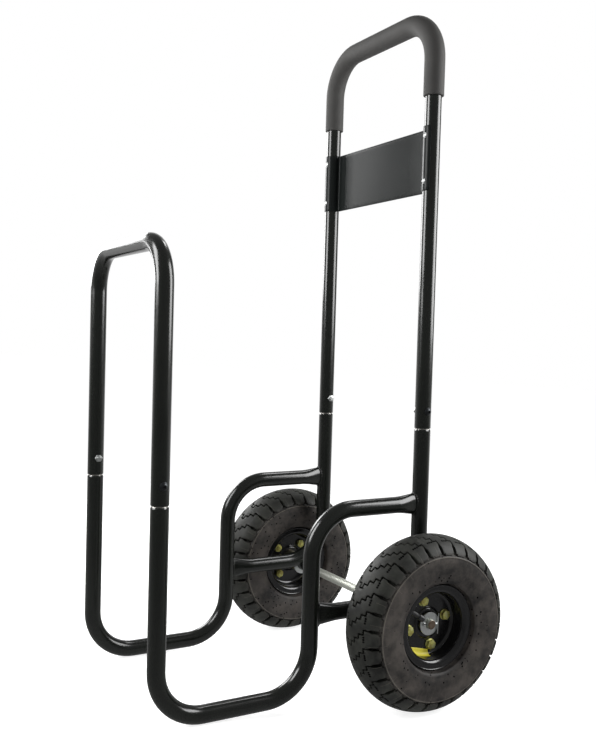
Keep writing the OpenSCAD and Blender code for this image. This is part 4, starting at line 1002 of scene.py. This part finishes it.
floor_paper = bpy.data.materials.new("floor paper")
floor_paper.use_nodes = True
tree = floor_paper.node_tree
paper = tree.nodes["Principled BSDF"]
paper.inputs["Base Color"].default_value = linear("#f2f2f1")
paper.inputs["Roughness"].default_value = 0.95
spot = add(tree, "ShaderNodeTexCoord").outputs["Object"]
grain = add(tree, "ShaderNodeTexNoise", {"Scale": 300}, {"Vector": spot})
bump = add(tree, "ShaderNodeBump", {"Strength": 0.05, "Distance": 0.0002}, {"Height": grain.outputs["Fac"]})
tree.links.new(bump.outputs["Normal"], paper.inputs["Normal"])
bounce = add(tree, "ShaderNodeEmission", {"Color": (1, 1, 1, 1), "Strength": 0.6})
lit = add(tree, "ShaderNodeAddShader", {}, {0: paper.outputs[0], 1: bounce.outputs[0]})
glow = add(tree, "ShaderNodeEmission", {"Color": (1, 1, 1, 1), "Strength": 0.82})
shade = add(tree, "ShaderNodeBsdfDiffuse", {"Color": (0.62, 0.62, 0.62, 1)})
seen = add(tree, "ShaderNodeAddShader", {}, {0: glow.outputs[0], 1: shade.outputs[0]})
ahead = add(tree, "ShaderNodeVectorMath", {"operation": "DOT_PRODUCT", 1: sweep_way}, {0: spot})
sweep = add(tree, "ShaderNodeMapRange", {"From Min": -0.8, "From Max": 2.5, "To Min": 0.16, "To Max": 1.0},
            {"Value": ahead.outputs["Value"]})
mirrored = add(tree, "ShaderNodeEmission", {"Color": (1, 1, 1, 1)}, {"Strength": sweep.outputs["Result"]})
mixed = light_path_mix(tree, lit, seen, mirrored)
tree.links.new(mixed.outputs[0], tree.nodes["Material Output"].inputs["Surface"])
bm = bmesh.new()
bmesh.ops.create_grid(bm, x_segments=8, y_segments=8, size=30)
mesh = bpy.data.meshes.new("floor")
bm.to_mesh(mesh)
bm.free()
mesh.materials.append(floor_paper)
floor = bpy.data.objects.new("floor", mesh)
scene.collection.objects.link(floor)

camera = bpy.data.objects.new("camera", bpy.data.cameras.new("camera"))
camera.data.lens = 42.48
camera.data.sensor_width = 36
camera.location = (1.22517, -0.67635, 0.50054)
camera.rotation_euler = [math.radians(a) for a in (89.078, -3.963, 60.296)]
camera.data.clip_end = 100
scene.collection.objects.link(camera)
scene.camera = camera

turn = camera.rotation_euler.to_matrix()
to_right, to_back = turn @ Vector((1, 0, 0)), turn @ Vector((0, 0, 1))
to_right.z = to_back.z = 0


def add_softbox(name, at, aim, width, height, radiance):
    """Soft rectangular lamp: its watts come from the radiance it shows."""
    lamp = bpy.data.objects.new(name, bpy.data.lights.new(name, "AREA"))
    lamp.data.shape = "RECTANGLE"
    lamp.data.size, lamp.data.size_y = width, height
    lamp.data.energy = radiance * math.pi * width * height
    lamp.location = at
    lamp.rotation_euler = (aim - at).to_track_quat("-Z", "Y").to_euler()
    lamp.visible_camera = False
    scene.collection.objects.link(lamp)


chest = Vector((0, 0, 1.2))
add_softbox("right softbox", chest + 1.3 * to_right + 0.1 * to_back, chest, 0.8, 1.2, 10)
add_softbox("left softbox", chest - 1.3 * to_right + 0.35 * to_back, chest, 0.65, 1.2, 12)
add_softbox("sweep softbox", Vector((-1.9, -0.42, 1.15)), Vector((0, -0.3, 0.65)), 1, 0.9, 10)
add_softbox("top softbox", Vector((-0.7, 0.9, 2.1)), Vector((0, 0, 0.35)), 0.45, 0.45, 8)

scene.view_settings.view_transform = "Standard"
